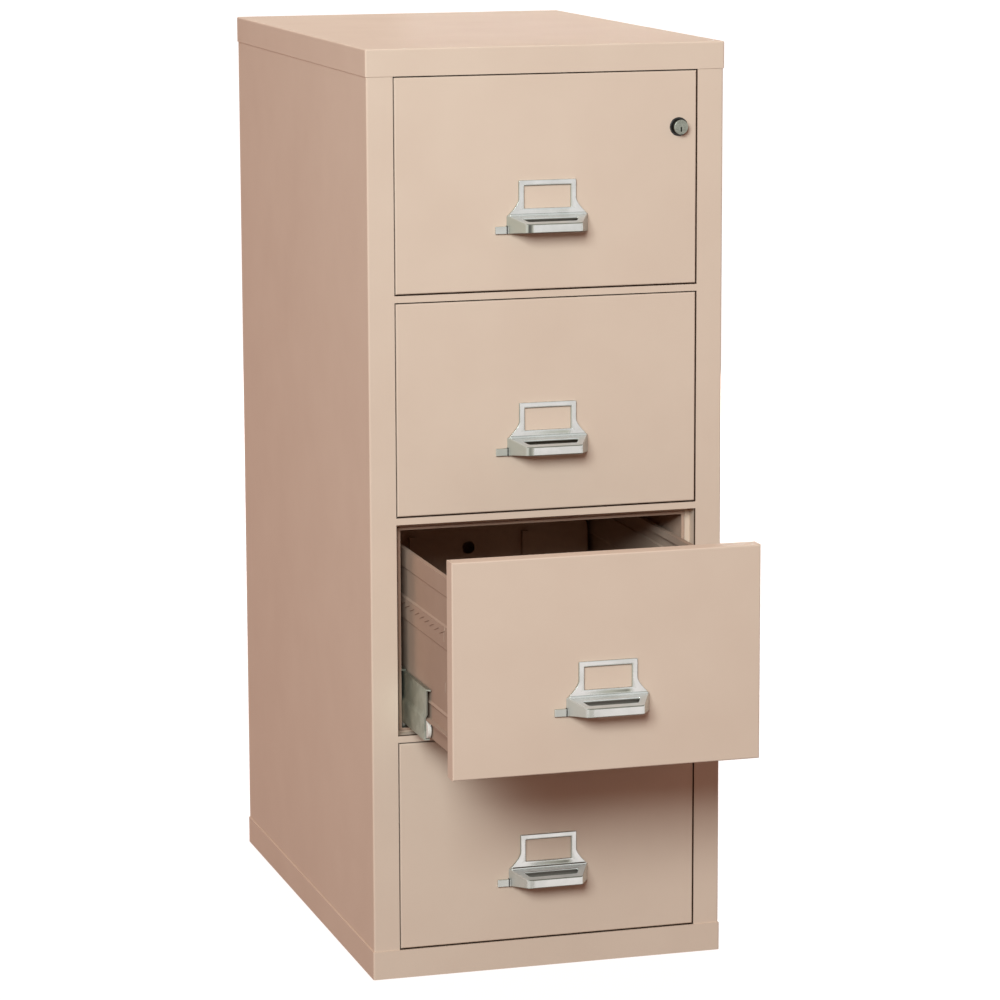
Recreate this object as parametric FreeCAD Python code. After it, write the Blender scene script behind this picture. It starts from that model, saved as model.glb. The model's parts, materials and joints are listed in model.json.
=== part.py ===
import FreeCAD, Part
import os

# Fire-insulated vertical filing cabinet with four drawers, legal width.
# Millimetres. The origin is the middle of the footprint on the floor, +X is to the right
# of someone who faces the drawers, the fronts face -Y, and +Z is up.
# Drawer 1 is the top one. Drawer 3 stands partly open, and everything that rides with it
# is drawn where that leaves it.

V = FreeCAD.Vector

# Driving dimensions of the cabinet
cabinet_height = 1340.0
body_width = 525.6
body_depth = 798.6
drawer_count = 4
stile_width = 38.3
rail_height = 9.6
cap_height = 38.6
cap_overhang = 1.3
base_height = 41.5
base_overhang = 1.5
shell_gauge = 1.5
edge_radius = 2.5
drawer_rest_opening = {3: 280.0}

# Jamb round each opening, from the front inwards
rebate_depth = 27.0
step_width = 7.6
sill_step_width = 1.5
groove_width = 1.0
lip_width = 4.0
sill_lip_width = 3.0
lip_depth = 3.0
lip_proud = 1.0

# Compartment liner and insulation
liner_gauge = 1.2
back_insulation = 44.6

# Drawer head
front_gap = 2.0
pan_depth = 25.0
pan_gauge = 1.5
pan_radius = 2.0
head_plug_depth = 38.0
head_side_clearance = 2.9
head_top_clearance = 3.0
head_sill_clearance = 3.0
head_foot_clearance = 1.5

# Drawer body
body_gauge = 1.2
body_side_room = 10.9
body_band_proud = 2.0
body_floor_over_cradle = 2.5
body_top_room = 43.0
body_rear_clearance = 12.0
rim_height = 26.0
rim_width = 7.0
rim_drop = 10.0
band_below_rim = 41.8
band_height = 35.5
band_ramp = 2.0
ridge_over_runner = 24.9
ridge_half = 3.0
ridge_proud = 2.5
runner_gauge = 2.0
runner_reach = 7.8
rack_pitch = 26.0
rack_strip = 6.0
rack_drop = 8.0
rack_proud = 1.2
rack_end_margin = 42.0
slit_width = 2.5
slit_height = 15.0
slit_inset = 46.0
slit_upper_below_band = 24.0
slit_lower_below_band = 97.0
track_width = 30.0
track_height = 3.0
track_slot_width = 8.0
track_slot_length = 6.0
track_slot_pitch = 20.0
track_end_margin = 24.0

# Telescoping suspension
rail_gauge = 2.0
rail_flange_room = 2.9
rail_front_setback = 4.0
rail_rear_clearance = 2.0
cradle_gauge = 2.0
cradle_lip_clearance = 0.5
cradle_joggle = 2.8
cradle_joggle_over_runner = 6.4
cradle_joggle_ramp = 6.0
cradle_upper_height = 36.5
cradle_flange_room = 2.5
cradle_front_setback = 19.3
cradle_flange_nose = 6.0
cradle_rear_clearance = 7.0
cradle_tie_width = 40.0
cradle_tie_inset = 95.0
roller_radius = 13.0
roller_width = 5.4
roller_side_room = 2.3
roller_shoulder = 0.8
roller_bore_radius = 3.1
axle_radius = 3.0
front_roller_setback = 3.0
rear_roller_inset = 20.0
drawer_roller_inset = 55.0
running_gap = 0.3
rail_roller_radius = 4.6
rail_roller_bore_radius = 1.6
rail_axle_radius = 1.5
rail_roller_setback = 9.0
screw_head_radius = 3.6
screw_head_height = 1.0
screw_shank_radius = 1.9
screw_length = 9.0
screw_inset = 60.0

# Handle, heights from the middle of the drawer front
handle_top = 3.6
handle_half_width = 42.5
handle_flare_top = -23.4
handle_crease = -46.0
handle_crease_half = 59.0
flare_middle_width_share = 0.28
flare_middle_height_share = 0.62
handle_corner_radius = 2.0
plate_thickness = 3.2
label_half_width = 34.5
label_top = -4.2
label_bottom = -36.2
label_bevel = 1.0
pull_depth = 38.0
pull_back_half = 60.5
pull_front_half = 41.0
pull_back_bottom = -71.5
pull_front_bottom = -67.5
pull_front_top = -55.0
pull_bar_thickness = 5.5
pull_side_thickness = 4.0
pull_shelf_thickness = 3.0
pull_shelf_depth = 14.5
pull_deck_front = 10.0
pull_deck_side = 11.0
pull_edge_radius = 1.2
bead_radius = 2.6
bead_half = 56.5

# Thumb latch, heights from the middle of the drawer front
latch_travel = 8.0
tab_reach = 17.0
tab_thickness = 3.6
tab_height = 10.8
tab_bottom = -71.5
tab_radius = 1.2
stem_width = 6.0
stem_height = 6.0
stem_offset = 40.0
bolt_height = 12.0
bolt_thickness = 5.0
bolt_over_rail = 16.0
bolt_depth_in_plug = 14.0
latch_nose_clearance = 0.5
latch_gap = 0.6
strike_height = 36.0
strike_gauge = 1.6
strike_depth = 22.0

# Follower block that holds the files upright
follower_gauge = 1.5
follower_side_clearance = 4.0
follower_top_room = 40.2
follower_foot = 58.0
follower_rear_clearance = 45.0
follower_lever_width = 46.0
follower_lever_height = 30.0
follower_grip_radius = 10.0
follower_grip_drop = 40.0
follower_corner_radius = 18.0
follower_rib_depth = 6.0
follower_rib_width = 10.0
follower_rib_offset = 90.0

# Plunger lock in the head of the top drawer, and the bar it drives
lock_inset = 28.5
lock_below_opening_top = 81.2
bezel_radius = 13.4
bezel_thickness = 1.8
bezel_edge = 0.8
barrel_radius = 12.0
plunger_radius = 10.5
plunger_clearance = 0.3
plunger_proud = 11.5
plunger_travel = 10.0
plunger_length = 35.0
plunger_edge = 0.8
plunger_rod_radius = 5.0
barrel_length = 27.0
push_arm_thickness = 6.0
push_arm_height = 6.0
push_arm_reach_past_bar = 8.0
push_arm_clearance = 0.7
key_plug_radius = 5.6
key_plug_clearance = 0.08
key_plug_drop = 3.2
key_plug_length = 20.0
keyway_width = 2.0
keyway_height = 7.0
keyway_depth = 9.0
bar_wall_gap = 2.5
bar_thickness = 3.0
bar_setback = 4.3
bar_width = 12.0
bar_end_clearance = 16.0
bar_top_below_cap = 26.0
bar_foot_over_base = 18.5
finger_below_top = 131.8
finger_size = 6.0
finger_side_room = 5.0
wedge_drop = 10.0
wedge_gap = 0.6
lane_depth = 1.0
lock_clearance = 1.2
guide_height = 14.0
guide_wall = 2.0
guide_clearance = 0.4
overrun = 5.0
same_place = 0.001

# Derived places
front_y = -body_depth / 2
back_y = body_depth / 2
body_half = body_width / 2
opening_half = body_half - stile_width
body_top = cabinet_height - shell_gauge
opening_height = (
    cabinet_height - cap_height - base_height - (drawer_count - 1) * rail_height
) / drawer_count
step_y = front_y + rebate_depth
slab_front_y = step_y + shell_gauge
lip_y = step_y - lip_proud
groove_half = opening_half - step_width
liner_outer_half = groove_half - groove_width
lip_half = liner_outer_half - lip_width
liner_half = liner_outer_half - liner_gauge
liner_back_y = back_y - shell_gauge - back_insulation - liner_gauge
liner_bottom = sill_step_width + groove_width
liner_top = step_width + groove_width
pan_back_y = front_y + pan_depth
plug_back_y = pan_back_y + head_plug_depth
plug_half = lip_half - head_side_clearance
body_panel_half = lip_half - body_side_room
body_rear_y = liner_back_y - body_rear_clearance
rail_front_y = lip_y + rail_front_setback
rail_rear_y = liner_back_y - rail_rear_clearance
rail_outer = liner_half
rail_flange_end = body_panel_half + rail_flange_room
rail_floor = liner_bottom + liner_gauge + rail_gauge
cradle_bottom_height = rail_floor + 2 * (rail_roller_radius + running_gap)
cradle_outer = lip_half - cradle_lip_clearance
cradle_upper_outer = cradle_outer - cradle_joggle
cradle_flange_end = body_panel_half + cradle_flange_room
cradle_front_y = lip_y + cradle_front_setback
cradle_rear_y = liner_back_y - cradle_rear_clearance
roller_start = body_panel_half + roller_side_room
roller_end = roller_start + roller_width
front_roller_y = cradle_front_y + front_roller_setback
rear_roller_y = cradle_rear_y - rear_roller_inset
drawer_roller_y = body_rear_y - drawer_roller_inset
carrying_roller_z = cradle_bottom_height + cradle_gauge + running_gap + roller_radius
rear_roller_z = rail_floor + running_gap + roller_radius
runner_height = carrying_roller_z + roller_radius + running_gap
cradle_joggle_height = runner_height + runner_gauge + cradle_joggle_over_runner
cradle_top_height = cradle_joggle_height + cradle_upper_height
rail_top = cradle_top_height + running_gap + rail_gauge
rail_roller_z = rail_floor + running_gap + rail_roller_radius
rail_roller_y = rail_front_y + rail_roller_setback
body_floor_height = cradle_bottom_height + body_floor_over_cradle
body_top_height = opening_height - body_top_room
band_top_height = body_top_height - rim_height - band_below_rim
ridge_height = runner_height + ridge_over_runner
follower_height = body_top_height - follower_top_room - body_floor_height
latch_bolt_y = pan_back_y + bolt_depth_in_plug
lock_x = opening_half - lock_inset
lock_z = cabinet_height - cap_height - lock_below_opening_top
bar_x = liner_outer_half + bar_wall_gap
bar_front_y = lip_y + lip_depth + bar_setback
bar_back_y = bar_front_y + bar_width
bar_bottom_height = base_height + bar_foot_over_base
push_arm_y = bar_front_y + push_arm_reach_past_bar
push_arm_end = lip_half - push_arm_clearance
finger_height = opening_height - finger_below_top
finger_end = body_panel_half + finger_side_room
slot_front_y = bar_front_y - lock_clearance
slot_back_y = bar_back_y + lock_clearance


def block(x, y, z):
    """Box between the two ends given along each axis."""
    return Part.makeBox(x[1] - x[0], y[1] - y[0], z[1] - z[0], V(x[0], y[0], z[0]))


def rod_x(x, y, z, radius):
    """Round bar along X, from x[0] to x[1]."""
    return Part.makeCylinder(radius, x[1] - x[0], V(x[0], y, z), V(1, 0, 0))


def rod_y(x, y, z, radius):
    """Round bar along Y, from y[0] to y[1]."""
    return Part.makeCylinder(radius, y[1] - y[0], V(x, y[0], z), V(0, 1, 0))


def prism(points, direction):
    """Flat outline carried along a direction."""
    return Part.Face(Part.makePolygon(points + points[:1])).extrude(direction)


def join(pieces):
    """One solid out of pieces that touch or overlap."""
    whole = pieces[0].multiFuse(pieces[1:]) if len(pieces) > 1 else pieces[0]
    return whole.removeSplitter()


def both_sides(piece):
    """A piece on the right and its mirror image on the left."""
    return [piece, piece.mirror(V(0, 0, 0), V(1, 0, 0))]


def rounded(shape, radius, wanted):
    """Fillet of the straight edges that the test picks."""
    edges = [edge for edge in shape.Edges if wanted(edge.BoundBox)]
    return shape.makeFillet(radius, edges)


def near(value, target):
    """Whether two lengths are the same place."""
    return abs(value - target) < same_place


def opening(number):
    """Bottom and top of a drawer's opening."""
    below = drawer_count - number
    bottom = base_height + below * (opening_height + rail_height)
    return bottom, bottom + opening_height


def ring(x_half, z, hole_half, hole_z, y):
    """Rectangular ring in the front plane, as deep as y says."""
    outer = block((-x_half, x_half), y, z)
    return outer.cut(block((-hole_half, hole_half), (y[0] - overrun, y[1] + overrun), hole_z))


def top_cap():
    """Steel lid whose skirt overhangs the body all round."""
    half = body_half + cap_overhang
    y = (front_y - cap_overhang, back_y + cap_overhang)
    z = (cabinet_height - cap_height, cabinet_height)
    lid = rounded(
        block((-half, half), y, z),
        edge_radius,
        lambda box: box.ZMin > z[0] + edge_radius or box.ZLength > edge_radius,
    )
    inside = block((-body_half, body_half), (front_y, back_y), (z[0] - overrun, body_top))
    return lid.cut(rounded(inside, edge_radius, lambda box: box.ZLength > edge_radius))


def base_plinth():
    """Steel pan that the cabinet stands on, with its skirt outside the body."""
    half = body_half + base_overhang
    y = (front_y - base_overhang, back_y + base_overhang)
    pan = rounded(
        block((-half, half), y, (0, base_height)),
        edge_radius,
        lambda box: box.ZLength > edge_radius,
    )
    z = (shell_gauge, base_height + overrun)
    inside = block((-body_half, body_half), (front_y, back_y), z)
    return pan.cut(rounded(inside, edge_radius, lambda box: box.ZLength > edge_radius))


def outer_shell():
    """Wrapper of sides and back whose front returns are the stiles."""
    z = (shell_gauge, body_top)
    wrapper = rounded(
        block((-body_half, body_half), (front_y, back_y), z),
        edge_radius,
        lambda box: box.ZLength > edge_radius,
    )
    inner_half = body_half - shell_gauge
    z = (z[0] - overrun, z[1] + overrun)
    hollow = block((-inner_half, inner_half), (front_y + shell_gauge, back_y - shell_gauge), z)
    mouth = block((-opening_half, opening_half), (front_y - overrun, front_y + overrun), z)
    return wrapper.cut(hollow).cut(mouth)


def front_frame():
    """Rails and rebated jambs of all the openings, one welded frame."""
    inner_y = front_y + shell_gauge
    wall_half = opening_half + shell_gauge
    faces = [
        block((-opening_half, opening_half), (front_y, inner_y), (shell_gauge, base_height)),
        block(
            (-opening_half, opening_half),
            (front_y, inner_y),
            (cabinet_height - cap_height, body_top),
        ),
    ]
    jambs = []
    for number in range(1, drawer_count + 1):
        bottom, top = opening(number)
        if number > 1:
            face_z = (top, opening(number - 1)[0])
            faces.append(block((-opening_half, opening_half), (front_y, inner_y), face_z))
        wall_z = (bottom - shell_gauge, top + shell_gauge)
        walls = ring(wall_half, wall_z, opening_half, (bottom, top), (inner_y, slab_front_y))
        step_z = (bottom + sill_step_width, top - step_width)
        step = ring(wall_half, wall_z, groove_half, step_z, (step_y, slab_front_y))
        jambs.append(join([walls, step]))
    return join(faces + jambs)


def bar_pocket(half_gap):
    """Space round the lock bar, wider than it by the gap given."""
    x = (liner_outer_half, bar_x + bar_thickness + half_gap)
    z = (bar_bottom_height - bar_end_clearance, body_top - bar_top_below_cap + bar_end_clearance)
    return block(x, (bar_front_y - half_gap, bar_back_y + half_gap), z)


def insulation_sides():
    """Cast slab in each side, with a nose that fills the stile."""
    inner_half = body_half - shell_gauge
    z = (shell_gauge, body_top)
    back = liner_back_y + liner_gauge
    slab = block((liner_outer_half, inner_half), (slab_front_y, back), z)
    nose_x = (opening_half + shell_gauge, inner_half)
    nose = block(nose_x, (front_y + shell_gauge, slab_front_y), z)
    slabs = both_sides(join([slab, nose]))
    return [slabs[0].cut(bar_pocket(guide_wall + guide_clearance + running_gap)), slabs[1]]


def insulation_back():
    """Cast slab inside the back of the shell."""
    inner_half = body_half - shell_gauge
    y = (liner_back_y + liner_gauge, back_y - shell_gauge)
    return [block((-inner_half, inner_half), y, (shell_gauge, body_top))]


def insulation_decks():
    """Cast slabs under, between and over the compartments."""
    y = (slab_front_y, liner_back_y + liner_gauge)
    nose_half = opening_half + shell_gauge
    nose_y = (front_y + shell_gauge, slab_front_y)
    decks = []
    for number in range(drawer_count + 1):
        low = opening(number + 1)[1] - liner_top if number < drawer_count else shell_gauge
        high = opening(number)[0] + liner_bottom if number > 0 else body_top
        deck = block((-liner_outer_half, liner_outer_half), y, (low, high))
        if number == 0:
            nose_z = (cabinet_height - cap_height + shell_gauge, body_top)
            deck = join([deck, block((-nose_half, nose_half), nose_y, nose_z)])
        if number == drawer_count:
            nose_z = (shell_gauge, base_height - shell_gauge)
            deck = join([deck, block((-nose_half, nose_half), nose_y, nose_z)])
        decks.append(deck)
    return decks


def compartment_liners():
    """Steel box round each compartment, with the raised lip at its mouth."""
    liners = []
    for number in range(1, drawer_count + 1):
        bottom, top = opening(number)
        z = (bottom + liner_bottom, top - liner_top)
        y = (lip_y, liner_back_y + liner_gauge)
        outer = block((-liner_outer_half, liner_outer_half), y, z)
        hollow_z = (z[0] + liner_gauge, z[1] - liner_gauge)
        hollow_y = (lip_y + lip_depth, liner_back_y)
        hollow = block((-liner_half, liner_half), hollow_y, hollow_z)
        mouth_z = (z[0] + sill_lip_width, z[1] - lip_width)
        mouth = block((-lip_half, lip_half), (lip_y - overrun, hollow_y[0] + overrun), mouth_z)
        liner = outer.cut(hollow).cut(mouth)
        liner = liner.cut(finger_slot(number))
        if number == 1:
            liner = liner.cut(wedge_slot())
        liners.append(liner)
    return liners


def finger_slot(number):
    """Hole in the liner's right wall that a finger of the lock bar works through."""
    bottom = opening(number)[0]
    low = bottom + finger_height - plunger_travel - lock_clearance
    high = bottom + finger_height + finger_size + lock_clearance
    x = (liner_half - overrun, liner_outer_half + overrun)
    return block(x, (slot_front_y, slot_back_y), (low, high))


def wedge_slot():
    """Hole in the top liner's right wall for the wedge that the plunger pushes."""
    low, high = wedge_heights()
    x = (liner_half - overrun, liner_outer_half + overrun)
    z = (low - plunger_travel - lock_clearance, high + lock_clearance)
    return block(x, (slot_front_y, slot_back_y), z)


def rail_section(y):
    """Fixed channel on the right wall, its height counted from the opening's bottom edge."""
    floor_z = (rail_floor - rail_gauge, rail_floor)
    web = block((rail_outer - rail_gauge, rail_outer), y, (floor_z[0], rail_top))
    foot = block((rail_flange_end, rail_outer), y, floor_z)
    head = block((rail_flange_end, rail_outer), y, (rail_top - rail_gauge, rail_top))
    return join([web, foot, head])


def cabinet_rails():
    """Fixed channels of the suspension, a pair for each drawer, with their front axles."""
    rail = rail_section((rail_front_y, rail_rear_y))
    axle_x = (roller_start, rail_outer - rail_gauge)
    rail = join([rail, rod_x(axle_x, rail_roller_y, rail_roller_z, rail_axle_radius)])
    for y in screw_places():
        shank = rod_x((rail_outer - overrun, rail_outer + overrun), y, screw_z(), screw_shank_radius)
        rail = rail.cut(shank)
    rails = []
    for number in range(1, drawer_count + 1):
        placed = rail.translated(V(0, 0, opening(number)[0]))
        rails.extend(both_sides(placed))
    return rails


def screw_places():
    """Where the screws of a fixed channel stand along it."""
    return (rail_front_y + screw_inset, (rail_front_y + rail_rear_y) / 2, rail_rear_y - screw_inset)


def screw_z():
    """Height of the screws over the opening's bottom edge."""
    return (rail_floor + rail_top) / 2


def rail_screws():
    """Screws that hold the fixed channels to the liners."""
    screws = []
    web_face = rail_outer - rail_gauge
    for y in screw_places():
        head_x = (web_face - screw_head_height, web_face)
        head = rod_x(head_x, y, screw_z(), screw_head_radius)
        shank = rod_x((web_face, web_face + screw_length), y, screw_z(), screw_shank_radius)
        screws.append(join([head, shank]))
    group = []
    for number in range(1, drawer_count + 1):
        for screw in screws:
            group.extend(both_sides(screw.translated(V(0, 0, opening(number)[0]))))
    return group


def screw_holes():
    """Holes for the rail screws through liners and insulation."""
    web_face = rail_outer - rail_gauge
    holes = []
    for number in range(1, drawer_count + 1):
        for y in screw_places():
            z = opening(number)[0] + screw_z()
            x = (web_face, web_face + screw_length)
            holes.extend(both_sides(rod_x(x, y, z, screw_shank_radius)))
    return holes


def wheel(y, z, radius, bore):
    """Nylon roller with rounded rims, its axis along X."""
    tyre = rod_x((roller_start, roller_end), y, z, radius)
    tyre = tyre.makeFillet(roller_shoulder, [e for e in tyre.Edges if near_circle(e, radius)])
    return tyre.cut(rod_x((roller_start - overrun, roller_end + overrun), y, z, bore))


def near_circle(edge, radius):
    """Whether an edge is a full circle of that radius."""
    return isinstance(edge.Curve, Part.Circle) and near(edge.Curve.Radius, radius)


def latch_strikes():
    """Strike plates behind the left lip, one beside each drawer's latch nose."""
    strikes = []
    for number in range(1, drawer_count + 1):
        middle = sum(bolt_z(number)) / 2
        z = (middle - strike_height / 2, middle + strike_height / 2)
        y = (lip_y + lip_depth, lip_y + lip_depth + strike_depth)
        strikes.append(block((-liner_half, -liner_half + strike_gauge), y, z))
    return strikes


def wedge_heights():
    """Bottom and top of the lock bar's wedge with the plunger out."""
    arm_bottom = lock_z - push_arm_height / 2
    return arm_bottom - wedge_drop, arm_bottom + bar_width - wedge_drop + lock_clearance


def lock_bar():
    """Upright bar in the right jamb, and the fingers and the wedge that are welded to it."""
    x = (bar_x, bar_x + bar_thickness)
    z = (bar_bottom_height, body_top - bar_top_below_cap)
    pieces = [block(x, (bar_front_y, bar_back_y), z)]
    for number in range(1, drawer_count + 1):
        low = opening(number)[0] + finger_height
        finger_x = (finger_end, bar_x)
        pieces.append(block(finger_x, (bar_front_y, bar_back_y), (low, low + finger_size)))
    low, high = wedge_heights()
    arm_bottom = lock_z - push_arm_height / 2
    face_y = push_arm_y + wedge_gap
    toe_y = max(face_y - (arm_bottom - low), bar_front_y)
    toe_z = arm_bottom + toe_y - face_y
    crown_z = arm_bottom + bar_back_y - face_y
    side = [
        V(finger_end, toe_y, low),
        V(finger_end, toe_y, toe_z),
        V(finger_end, bar_back_y, crown_z),
        V(finger_end, bar_back_y, low),
    ]
    pieces.append(prism(side, V(bar_x - finger_end, 0, 0)))
    return pieces


def lock_bar_guides():
    """Staples on the outside of the liners that keep the lock bar upright."""
    gap = guide_clearance
    x = (liner_outer_half, bar_x + bar_thickness + gap + guide_wall)
    y = (bar_front_y - gap - guide_wall, bar_back_y + gap + guide_wall)
    guides = []
    for number in range(1, drawer_count + 1):
        low = opening(number)[0] + finger_height / 2
        staple = block(x, y, (low, low + guide_height))
        hole_x = (bar_x - gap, bar_x + bar_thickness + gap)
        hole_z = (low - overrun, low + guide_height + overrun)
        guides.append(staple.cut(block(hole_x, (bar_front_y - gap, bar_back_y + gap), hole_z)))
    return guides


def drawer_front(number):
    """Steel pan that is the face of a drawer, open at the back."""
    bottom, top = opening(number)
    half = opening_half - front_gap
    z = (bottom + front_gap, top - front_gap)
    face = block((-half, half), (front_y, pan_back_y), z)
    face = rounded(face, pan_radius, lambda box: box.YMax < pan_back_y - pan_gauge)
    inner_z = (z[0] + pan_gauge, z[1] - pan_gauge)
    inner_half = half - pan_gauge
    hollow_y = (front_y + pan_gauge, pan_back_y + overrun)
    face = face.cut(block((-inner_half, inner_half), hollow_y, inner_z))
    face = face.cut(stem_slot(number, 0))
    if number == 1:
        hole_y = (front_y - overrun, front_y + overrun)
        face = face.cut(rod_y(lock_x, hole_y, lock_z, barrel_radius))
    return face


def plug_outline(number, inset):
    """Head plug as a solid, shrunk by the inset on every side but the front."""
    bottom, top = opening(number)
    lip_bottom = bottom + liner_bottom + sill_lip_width
    low = lip_bottom + head_sill_clearance + inset
    high = top - liner_top - lip_width - head_top_clearance - inset
    shoulder = bottom + rail_top + head_sill_clearance + inset
    foot_half = cradle_flange_end - head_foot_clearance - inset
    y = (pan_back_y, plug_back_y - inset)
    wide = block((-plug_half + inset, plug_half - inset), y, (shoulder, high))
    return join([wide, block((-foot_half, foot_half), y, (low, shoulder))])


def lock_lanes(number):
    """Notches in the plug's right side that the lock bar's fingers pass through."""
    low = opening(number)[0] + finger_height
    x = (finger_end - lane_depth, lip_half)
    through_y = (slot_front_y, plug_back_y + overrun)
    free_z = (low - lock_clearance, low + finger_size + lock_clearance)
    held_z = (low - plunger_travel - lock_clearance, free_z[0])
    lanes = [block(x, through_y, free_z), block(x, (slot_front_y, slot_back_y), held_z)]
    if number == 1:
        low, high = wedge_heights()
        wedge_z = (low - plunger_travel - lock_clearance, high + lock_clearance)
        lanes.append(block(x, through_y, wedge_z))
    return join(lanes)


def lock_cavity():
    """Room in the top drawer's head for the lock barrel, the plunger and its arm."""
    y = (front_y - overrun, push_arm_y + plunger_travel + lock_clearance)
    half = push_arm_height / 2 + lock_clearance
    arm_y = (push_arm_y - push_arm_thickness - lock_clearance, y[1])
    arm = block((lock_x, lip_half), arm_y, (lock_z - half, lock_z + half))
    return join([rod_y(lock_x, y, lock_z, barrel_radius), arm])


def bolt_z(number):
    """Bottom and top of the latch bolt, above the fixed channels."""
    low = opening(number)[0] + rail_top + bolt_over_rail
    return low, low + bolt_height


def latch_cavity(number):
    """Room in a drawer's head for the latch bolt, its riser and its stem."""
    low, high = bolt_z(number)
    right = stem_x()[1] + latch_travel + latch_gap
    y = (latch_bolt_y - latch_gap, latch_bolt_y + bolt_thickness + latch_gap)
    run = block((-lip_half, right), y, (low - latch_gap, high + latch_gap))
    riser = block((stem_x()[0] - latch_gap, right), y, (stem_z(number)[0] - latch_gap, high))
    return join([run, riser, stem_slot(number, bolt_depth_in_plug + pan_depth)])


def stem_x():
    """Left and right faces of the latch stem at rest."""
    left = -stem_offset
    return left, left + stem_width


def stem_z(number):
    """Bottom and top of the latch stem."""
    middle = sum(tab_z(number)) / 2
    return middle - stem_height / 2, middle + stem_height / 2


def stem_slot(number, depth):
    """Slot for the latch stem from the front of the handle plate to a depth in the head."""
    left, right = stem_x()
    low, high = stem_z(number)
    y = (front_y - plate_thickness - overrun, front_y + max(depth, pan_gauge) + latch_gap)
    x = (left - latch_gap, right + latch_travel + latch_gap)
    return block(x, y, (low - latch_gap, high + latch_gap))


def head_insulation(number):
    """Cast block that fills the drawer's front pan and the plug behind it."""
    bottom, top = opening(number)
    half = opening_half - front_gap - pan_gauge
    z = (bottom + front_gap + pan_gauge, top - front_gap - pan_gauge)
    filling = block((-half, half), (front_y + pan_gauge, pan_back_y - body_gauge), z)
    neck = plug_outline(number, body_gauge).translated(V(0, -body_gauge, 0))
    core = join([filling, neck]).cut(lock_lanes(number)).cut(latch_cavity(number))
    if number == 1:
        core = core.cut(lock_cavity())
    return core


def head_cover(number):
    """Steel cover of the plug with the flange that closes the front pan."""
    bottom, top = opening(number)
    half = opening_half - front_gap - pan_gauge
    z = (bottom + front_gap + pan_gauge, top - front_gap - pan_gauge)
    flange = block((-half, half), (pan_back_y - body_gauge, pan_back_y), z)
    cover = join([flange, plug_outline(number, 0)])
    cover = cover.cut(plug_outline(number, body_gauge))
    cover = cover.cut(plug_outline(number, body_gauge).translated(V(0, -body_gauge, 0)))
    cover = cover.cut(lock_lanes(number)).cut(latch_cavity(number))
    if number == 1:
        cover = cover.cut(lock_cavity())
    return cover


def side_profile():
    """Outside of the drawer's right wall, as places across and up from the opening's bottom."""
    panel = body_panel_half
    proud = panel + body_band_proud
    band_bottom = band_top_height - band_height
    return [
        (panel, body_floor_height),
        (panel, runner_height + runner_gauge / 2),
        (panel, ridge_height - ridge_half),
        (panel + ridge_proud, ridge_height),
        (panel, ridge_height + ridge_half),
        (panel, band_bottom),
        (proud, band_bottom + band_ramp),
        (proud, band_top_height - band_ramp),
        (panel, band_top_height),
        (panel, body_top_height - rim_height - band_ramp),
        (proud, body_top_height - rim_height),
        (proud, body_top_height),
    ]


def drawer_side():
    """Pressed right wall of the drawer with its rim, its runner and its rack."""
    y = (plug_back_y, body_rear_y)
    outside = [V(x, y[0], z) for x, z in side_profile()]
    inside = [V(x - body_gauge, y[0], z) for x, z in reversed(side_profile())]
    sheet = prism(outside + inside, V(0, y[1] - y[0], 0))
    proud = body_panel_half + body_band_proud
    rim_x = (proud - rim_width, proud)
    top_z = (body_top_height - body_gauge, body_top_height)
    fold_x = (rim_x[0], rim_x[0] + body_gauge)
    rim = block(rim_x, y, top_z)
    fold = block(fold_x, y, (body_top_height - rim_drop, body_top_height))
    runner_x = (body_panel_half - body_gauge, body_panel_half + runner_reach)
    runner = block(runner_x, y, (runner_height, runner_height + runner_gauge))
    return join([sheet, rim, fold, runner, side_rack()]).cut(side_slits())


def side_rack():
    """Ratchet strip along the top of the middle band, with teeth that point down."""
    x = body_panel_half + body_band_proud - body_gauge
    high = band_top_height - band_ramp
    low = high - rack_strip
    first = plug_back_y + rack_end_margin
    count = int((body_rear_y - rack_end_margin - first) / rack_pitch)
    outline = [V(x, first + count * rack_pitch, high), V(x, first, high)]
    for index in range(count):
        front = first + index * rack_pitch
        outline.append(V(x, front, low))
        outline.append(V(x, front + rack_pitch, low - rack_drop))
    return prism(outline, V(body_gauge + rack_proud, 0, 0))


def side_slits():
    """Two upright slits near the front of a drawer's wall."""
    y = (plug_back_y + slit_inset, plug_back_y + slit_inset + slit_width)
    x = (body_panel_half - overrun, body_panel_half + overrun)
    cuts = []
    for drop in (slit_upper_below_band, slit_lower_below_band):
        low = band_top_height - drop
        cuts.append(block(x, y, (low, low + slit_height)))
    return join(cuts)


def drawer_body(number):
    """Pressed drawer tub, welded to the cover of its head."""
    inner = body_panel_half
    y = (plug_back_y, body_rear_y)
    floor_z = (body_floor_height, body_floor_height + body_gauge)
    floor = block((-inner, inner), y, floor_z)
    back_z = (body_floor_height, band_top_height)
    back = block((-inner, inner), (y[1] - body_gauge, y[1]), back_z)
    track = follower_track()
    sides = both_sides(drawer_side())
    axle_x = (body_panel_half - body_gauge, roller_end)
    axle = rod_x(axle_x, drawer_roller_y, carrying_roller_z, axle_radius)
    tub = join([floor, back, track] + sides + both_sides(axle))
    tub = tub.translated(V(0, 0, opening(number)[0]))
    return join([tub, head_cover(number)])


def follower_track():
    """Raised strip along the floor, slotted for the follower's catch."""
    half = track_width / 2
    y = (plug_back_y + track_end_margin, body_rear_y - track_end_margin)
    low = body_floor_height + body_gauge
    strip = block((-half, half), y, (low, low + track_height))
    step = track_slot_pitch
    count = int((y[1] - y[0] - step) / step)
    slot_half = track_slot_width / 2
    cuts = []
    for index in range(count):
        start = y[0] + step / 2 + index * step
        cut_z = (low + body_gauge, low + track_height + overrun)
        cuts.append(block((-slot_half, slot_half), (start, start + track_slot_length), cut_z))
    return strip.cut(join(cuts))


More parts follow.
